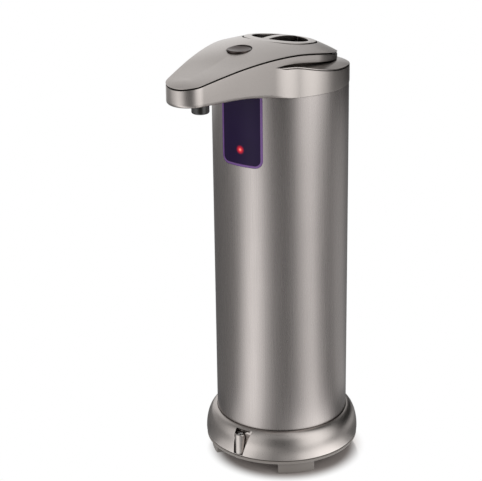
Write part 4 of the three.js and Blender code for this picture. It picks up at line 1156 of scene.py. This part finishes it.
def translucent(name, color, roughness):
    graph = new_graph(name)
    tight = graph.grain(900, 3)
    return graph.end({
        "Base Color": graph.shade(tight, color, 0.95, 1),
        "Roughness": roughness,
        "Transmission Weight": 0.6,
        "IOR": 1.45,
        "Normal": graph.bump(tight, 0.05, distance=0.00005),
    })


def board(name):
    """Circuit board: solder mask with paler tracks."""
    graph = new_graph(name)
    tracks = graph.add("ShaderNodeTexBrick", {
        "Vector": graph.place(),
        "Scale": 260,
        "Mortar Size": 0.03,
        "Color1": (0.02, 0.13, 0.06, 1),
        "Color2": (0.025, 0.16, 0.075, 1),
        "Mortar": (0.08, 0.32, 0.16, 1),
    })
    return graph.end({"Base Color": tracks.outputs["Color"], "Roughness": 0.35})


def window_with_painted_glow(name):
    """Dark violet infrared window, and a painted red glow that the window itself emits round the lamp's
    place.
    """
    graph = new_graph(name)
    lamp_place = put(TUBE_RADIUS, 0, LED_HEIGHT) * MM
    shift = graph.add("ShaderNodeVectorMath", {0: graph.place(), 1: lamp_place}, operation="SUBTRACT")
    distance = graph.length(shift.outputs["Vector"])
    painted_glow = graph.ranged(distance, start=0.0003, stop=0.0026, low=1, high=0, curve="SMOOTHERSTEP")
    painted_glow_core = graph.ranged(distance, start=0, stop=0.0011, low=1, high=0, curve="SMOOTHERSTEP")
    return graph.end({
        "Base Color": graph.mixed(graph.grain(70), (0.010, 0.004, 0.026, 1), (0.016, 0.007, 0.040, 1)),
        "Roughness": 0.22,
        "IOR": 1.22,
        # Painted glow: red light emitted by the window, brightest at the lamp's place
        "Emission Color": graph.mixed(painted_glow_core, (0.75, 0.015, 0.01, 1), (1, 0.28, 0.2, 1)),
        "Emission Strength": painted_glow,
    })


def battery_sleeve(name):
    """Shrink sleeve in plain blue."""
    graph = new_graph(name)
    return graph.end({
        "Base Color": graph.mixed(graph.grain(90), (0.03, 0.09, 0.24, 1), (0.045, 0.12, 0.3, 1)),
        "Roughness": 0.3,
        "Coat Weight": 0.5,
        "Normal": graph.bump(graph.grain(700), 0.05, distance=0.00005),
    })


NICKEL = (0.52, 0.48, 0.455)
# Metals given a reach for gaps get painted shade there, a warm brown in gaps and inner corners.
materials = {
    "steel_tube": metal("satin steel", (0.44, 0.405, 0.39), 0.28, 2200, 0.008, (1, 1, 0.02), 0.001),
    "satin_nickel": metal("satin nickel paint", NICKEL, 0.3, strength=0.06, crevice_shade=0.003),
    "black_gloss": plastic("black gloss", (0.012, 0.011, 0.010), 0.16, 900, 0.03, 0.5),
    "dark_plastic": plastic("dark moulding", (0.03, 0.03, 0.03), 0.5),
    "foot_plastic": plastic("foot moulding", (0.22, 0.2, 0.185), 0.5),
    "violet_window": window_with_painted_glow("violet window"),
    "purple_rim": plastic("purple rim", (0.13, 0.05, 0.22), 0.3, 900, 0.04, 0.3),
    "red_lamp": plastic("red lamp", (0.7, 0.03, 0.02), 0.2),
    "clear_plastic": translucent("natural tank plastic", (0.82, 0.85, 0.82), 0.35),
    "clear_hose": translucent("silicone hose", (0.85, 0.87, 0.85), 0.3),
    "seal_rubber": plastic("seal rubber", (0.03, 0.03, 0.03), 0.7),
    "white_plastic": plastic("white moulding", (0.75, 0.74, 0.70), 0.4),
    "plain_steel": metal("plain steel", (0.6, 0.59, 0.58), 0.25),
    "brass": metal("bare brass", (0.72, 0.5, 0.2), 0.28),
    "board_green": board("circuit board"),
    "battery_wrap": battery_sleeve("battery sleeve"),
}
# Painted shade: the button is a darker, browner copy of the nickel paint, standing in for the shade and dark
# reflections in its dish, with painted shade in its gaps too.
button_painted_shade = metal("button nickel with painted shade", (0.125, 0.102, 0.095), 0.34, strength=0.06, crevice_shade=0.002)
# Nickel of the foot ring and deck, with painted shade only in the narrowest gaps
ring_paint = metal("foot ring paint", NICKEL, 0.3, strength=0.06, crevice_shade=0.0006)
# Painted shade: the cap's nickel turns dark brown over a long reach in its finger pockets and round its
# groove.
cap_nickel_pocket_shade = metal("cap nickel with painted pocket shade", NICKEL, 0.3, strength=0.06, crevice_shade=0.013, depth=0.12)
# Painted shade: dark brown for the screw's pocket, which is dark only from shade.
pocket_shade_paint = metal("painted pocket shade", (0.26, 0.23, 0.215), 0.35, strength=0.06, crevice_shade=0.002, depth=0.6)
slot_of = {row["node"]: row["material_slot"] for row in frame["record"]["subparts"]}


def dress(obj, material):
    obj.data.materials.clear()
    obj.data.materials.append(material)


for node, obj in frame["nodes"].items():
    dress(obj, materials[slot_of[node]])


def stand_in(piece, body, slot, *nodes, finish=None):
    """A detailed piece takes the place of CAD nodes, their body and their finish."""
    if finish != "kept":
        dress(piece, finish or materials[slot])
    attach(piece, body)
    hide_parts(*nodes)


stand_in(make_tube(), "column", "steel_tube", "body_tube")
stand_in(make_casing(), "column", "satin_nickel", "head_casing")
stand_in(make_deck(), "column", "satin_nickel", "collar_deck", finish=ring_paint)
stand_in(make_hood(), "column", "satin_nickel", "top_cover")
stand_in(make_cap(), "cap", "satin_nickel", "filler_cap", finish=cap_nickel_pocket_shade)
stand_in(make_button(), "push_button", "satin_nickel", "button", finish=button_painted_shade)
stand_in(make_nozzle(), "column", "black_gloss", "nozzle")
stand_in(make_bezel(), "column", "purple_rim", "window_bezel")
stand_in(make_window(), "column", "violet_window", "sensor_window")
stand_in(make_base(), "column", "satin_nickel", "base_ring", finish="kept")
stand_in(make_screw(), "column", "plain_steel", "cover_screw")
stand_in(make_cover(), "cover", "foot_plastic", "bottom_cover")
for name, angle in (("front_right", PAD_ANGLE), ("front_left", -PAD_ANGLE),
                    ("rear_right", pi - PAD_ANGLE), ("rear_left", PAD_ANGLE - pi)):
    stand_in(make_pad(f"pad_{name}", angle), "cover", "foot_plastic", f"foot_{name}")
for index in (1, 2, 3, 4):
    stand_in(make_battery(index), "column", "battery_wrap", f"battery_{index}")

# Camera: where the photograph was taken from

CAMERA_SIDE = 413.02
CAMERA_FORWARD = 586.68
CAMERA_HEIGHT = 376.7
CAMERA_TURN = radians(36.68)
CAMERA_PITCH = radians(20.53)
CAMERA_ROLL = radians(-0.8)

camera_data = bpy.data.cameras.new("camera")
camera_data.lens = 118.68
camera_data.sensor_width = 36
camera_data.clip_start = 0.01
camera_data.clip_end = 50
camera = placed("camera", camera_data)
aim = (
    Matrix.Rotation(CAMERA_TURN, 4, "Z")
    @ Matrix.Rotation(pi / 2 - CAMERA_PITCH, 4, "X")
    @ Matrix.Rotation(CAMERA_ROLL, 4, "Z")
)
camera.matrix_world = Matrix.Translation(put(CAMERA_FORWARD, CAMERA_SIDE, CAMERA_HEIGHT) * MM) @ aim
bpy.context.scene.camera = camera
bpy.context.scene.view_settings.view_transform = "Standard"

# Studio: a white floor, a grey dome that only reflections see, and soft lamps, all in metres.
# Each table of the dome gives brightness by the angle round the column: 0 towards the camera,
# positive to the right of it, in degrees.

VIEW_ANGLE = atan2(-CAMERA_FORWARD, CAMERA_SIDE)
COLUMN_LEVELS = (
    (-180, 0.18), (-140, 0.16), (-110, 0.22), (-90, 0.26), (-76, 0.38), (-65, 0.85), (-54, 1.4), (-44, 1.6),
    (-34, 1.25), (-22, 0.68), (-10, 0.34), (8, 0.24), (20, 0.35), (32, 0.74), (43, 1.08), (53, 1.12),
    (65, 0.6), (77, 0.34), (90, 0.32), (105, 0.5), (122, 0.5), (140, 0.26), (160, 0.15), (180, 0.15),
)
HEAD_LEVELS = (
    (-180, 1.05), (-150, 0.9), (-125, 0.4), (-105, 0.38), (-75, 0.95), (-50, 1.1), (-32, 0.65), (-15, 0.12),
    (10, 0.1), (22, 0.4), (33, 1.35), (48, 1.6), (62, 1.6), (74, 1.1), (84, 0.6), (92, 0.12), (104, 0.02),
    (135, 0.01), (152, 0.03), (165, 0.25), (180, 1.05),
)
FOOT_LEVELS = (
    (-180, 0.2), (-110, 0.15), (-88, 0.26), (-68, 0.85), (-50, 1.3), (-37, 1.25), (-22, 0.6), (-8, 0.32),
    (9, 0.52), (27, 1.35), (42, 1.75), (58, 1.75), (72, 1.1), (84, 0.4), (97, 0.14), (130, 0.2), (180, 0.2),
)
CEILING_LEVELS = (
    (-180, 0.9), (-130, 0.7), (-100, 0.35), (-70, 0.55), (-40, 0.72), (-18, 0.42), (0, 0.38), (15, 0.6),
    (32, 1.5), (60, 1.7), (78, 1.1), (92, 0.35), (106, 0.15), (130, 0.15), (150, 0.3), (165, 0.75),
    (180, 0.9),
)

DOME_RADIUS = 0.9
DOME_DROP = 0.002
ZENITH_SHARE = 0.6
FLOOR_HALF = 6
# Painted shadow: how far the floor's grey disc is set off from the column, towards the camera and to its
# right
SHADOW_DISC_SHIFT = 0.0035
SHADOW_DISC_SIDE_SHIFT = 0.0018


def dome_material():
    """Light by the angle round the column, in zones by the distance from its foot and by height."""
    graph = new_graph("studio dome", "ShaderNodeOutputMaterial")
    place = graph.place()
    turn = graph.add("ShaderNodeTexGradient", {"Vector": place}, gradient_type="RADIAL").outputs["Fac"]
    distance = graph.length(place)
    height = graph.add("ShaderNodeSeparateXYZ", {"Vector": place}).outputs["Z"]
    column_zone = graph.zone(distance, start=0.078, stop=0.1)
    outward = graph.zone(distance, start=0.6, stop=0.74)
    upward = graph.zone(height, start=0.35, stop=0.6)
    near_floor = graph.mixed(column_zone, graph.levels(turn, FOOT_LEVELS), graph.levels(turn, COLUMN_LEVELS))
    low = graph.mixed(outward, near_floor, graph.levels(turn, HEAD_LEVELS))
    share = graph.ranged(height, start=0.5, stop=0.85, low=LEVEL_SCALE, high=LEVEL_SCALE * ZENITH_SHARE)
    color = graph.mixed(upward, low, graph.levels(turn, CEILING_LEVELS))
    light = graph.add("ShaderNodeEmission", {"Color": color, "Strength": share})
    return graph.end({"Surface": light.outputs["Emission"]})


def only_reflected(obj):
    obj.visible_camera = False
    obj.visible_diffuse = False
    obj.visible_transmission = False
    obj.visible_volume_scatter = False
    obj.visible_shadow = False


def stage_mesh(name, points, faces, material):
    mesh = bpy.data.meshes.new(name)
    mesh.from_pydata(points, [], faces)
    mesh.materials.append(material)
    return placed(name, mesh)


def make_dome(turns=96, rises=24):
    """A half sphere over a disc, turned so that its own X axis points at the camera."""
    points, faces = [(0, 0, 0)], []
    for j in range(rises):
        lift = pi / 2 * j / rises
        for i in range(turns):
            flat = polar(DOME_RADIUS * cos(lift), 2 * pi * i / turns)
            points.append((*flat, DOME_RADIUS * sin(lift)))
    points.append((0, 0, DOME_RADIUS))
    last_ring = 1 + (rises - 1) * turns
    for i in range(turns):
        after = (i + 1) % turns
        faces.append((0, 1 + i, 1 + after))
        for here in range(1, last_ring, turns):
            above = here + turns
            faces.append((here + i, here + after, above + after, above + i))
        faces.append((last_ring + i, last_ring + after, len(points) - 1))
    dome = stage_mesh("studio_dome", points, faces, dome_material())
    dome.location = (0, AXIS_Y * MM, -DOME_DROP)
    dome.rotation_euler = (0, 0, VIEW_ANGLE)
    only_reflected(dome)


def make_floor():
    """White floor: close to the foot it is a grey diffuse disc, a painted shadow that also takes the lamps'
    shadow, set off towards the camera and to the right; further out it shines plain white.
    """
    graph = new_graph("white floor", "ShaderNodeOutputMaterial")
    share = graph.zone(graph.length(graph.place()), start=0.031, stop=0.0405)
    # Painted shadow: inside the disc the floor is grey, darker than white even where lit
    diffuse = graph.add("ShaderNodeBsdfDiffuse", {"Color": (0.46, 0.425, 0.41, 1)}).outputs["BSDF"]
    white = graph.add("ShaderNodeEmission").outputs["Emission"]
    material = graph.end({"Surface": graph.either(share, diffuse, white)})
    corners = [(x * FLOOR_HALF, y * FLOOR_HALF, 0) for x, y in SQUARE]
    floor = stage_mesh("floor", corners, [(0, 1, 2, 3)], material)
    shift = polar(SHADOW_DISC_SHIFT, VIEW_ANGLE) + polar(SHADOW_DISC_SIDE_SHIFT, VIEW_ANGLE + pi / 2)
    floor.location = (shift.x, AXIS_Y * MM + shift.y, 0)
    floor.visible_glossy = False


def make_world():
    """White to the camera and through clear pieces, and a soft fill for everything else."""
    world = bpy.data.worlds.new("studio")
    bpy.context.scene.world = world
    graph = Graph(world, "ShaderNodeOutputWorld")
    path = graph.add("ShaderNodeLightPath").outputs
    rays = {0: path["Is Camera Ray"], 1: path["Is Transmission Ray"]}
    seen = graph.add("ShaderNodeMath", rays, operation="MAXIMUM").outputs["Value"]
    soft = graph.add("ShaderNodeBackground", {"Color": (1, 0.95, 0.92, 1), "Strength": 0.42})
    white = graph.add("ShaderNodeBackground", {"Color": (1, 1, 1, 1)})
    graph.end({"Surface": graph.either(seen, soft.outputs["Background"], white.outputs["Background"])})


def lamp(name, angle, reach, height, size, power, aim_height):
    """A soft lamp that faces the column and that no reflection shows."""
    data = bpy.data.lights.new(name, "AREA")
    data.shape = "RECTANGLE"
    data.size, data.size_y = size
    data.energy = power
    axis = Vector((0, AXIS_Y * MM, 0))
    spot = axis + Vector((*polar(reach, angle), height))
    target = axis + Vector((0, 0, aim_height))
    obj = placed(name, data)
    obj.location = spot
    obj.rotation_euler = (target - spot).to_track_quat("-Z", "Y").to_euler()
    obj.visible_glossy = False


make_dome()
make_floor()
make_world()
for name, side, size in (("left softbox", -1, (0.4, 0.6)), ("right softbox", 1, (0.35, 0.6))):
    angle = VIEW_ANGLE + side * radians(50)
    lamp(name, angle, reach=0.8, height=0.45, size=size, power=2, aim_height=0.11)
lamp("floor lamp", VIEW_ANGLE + pi, reach=1.6, height=0.82, size=(0.12, 0.12), power=60, aim_height=0)
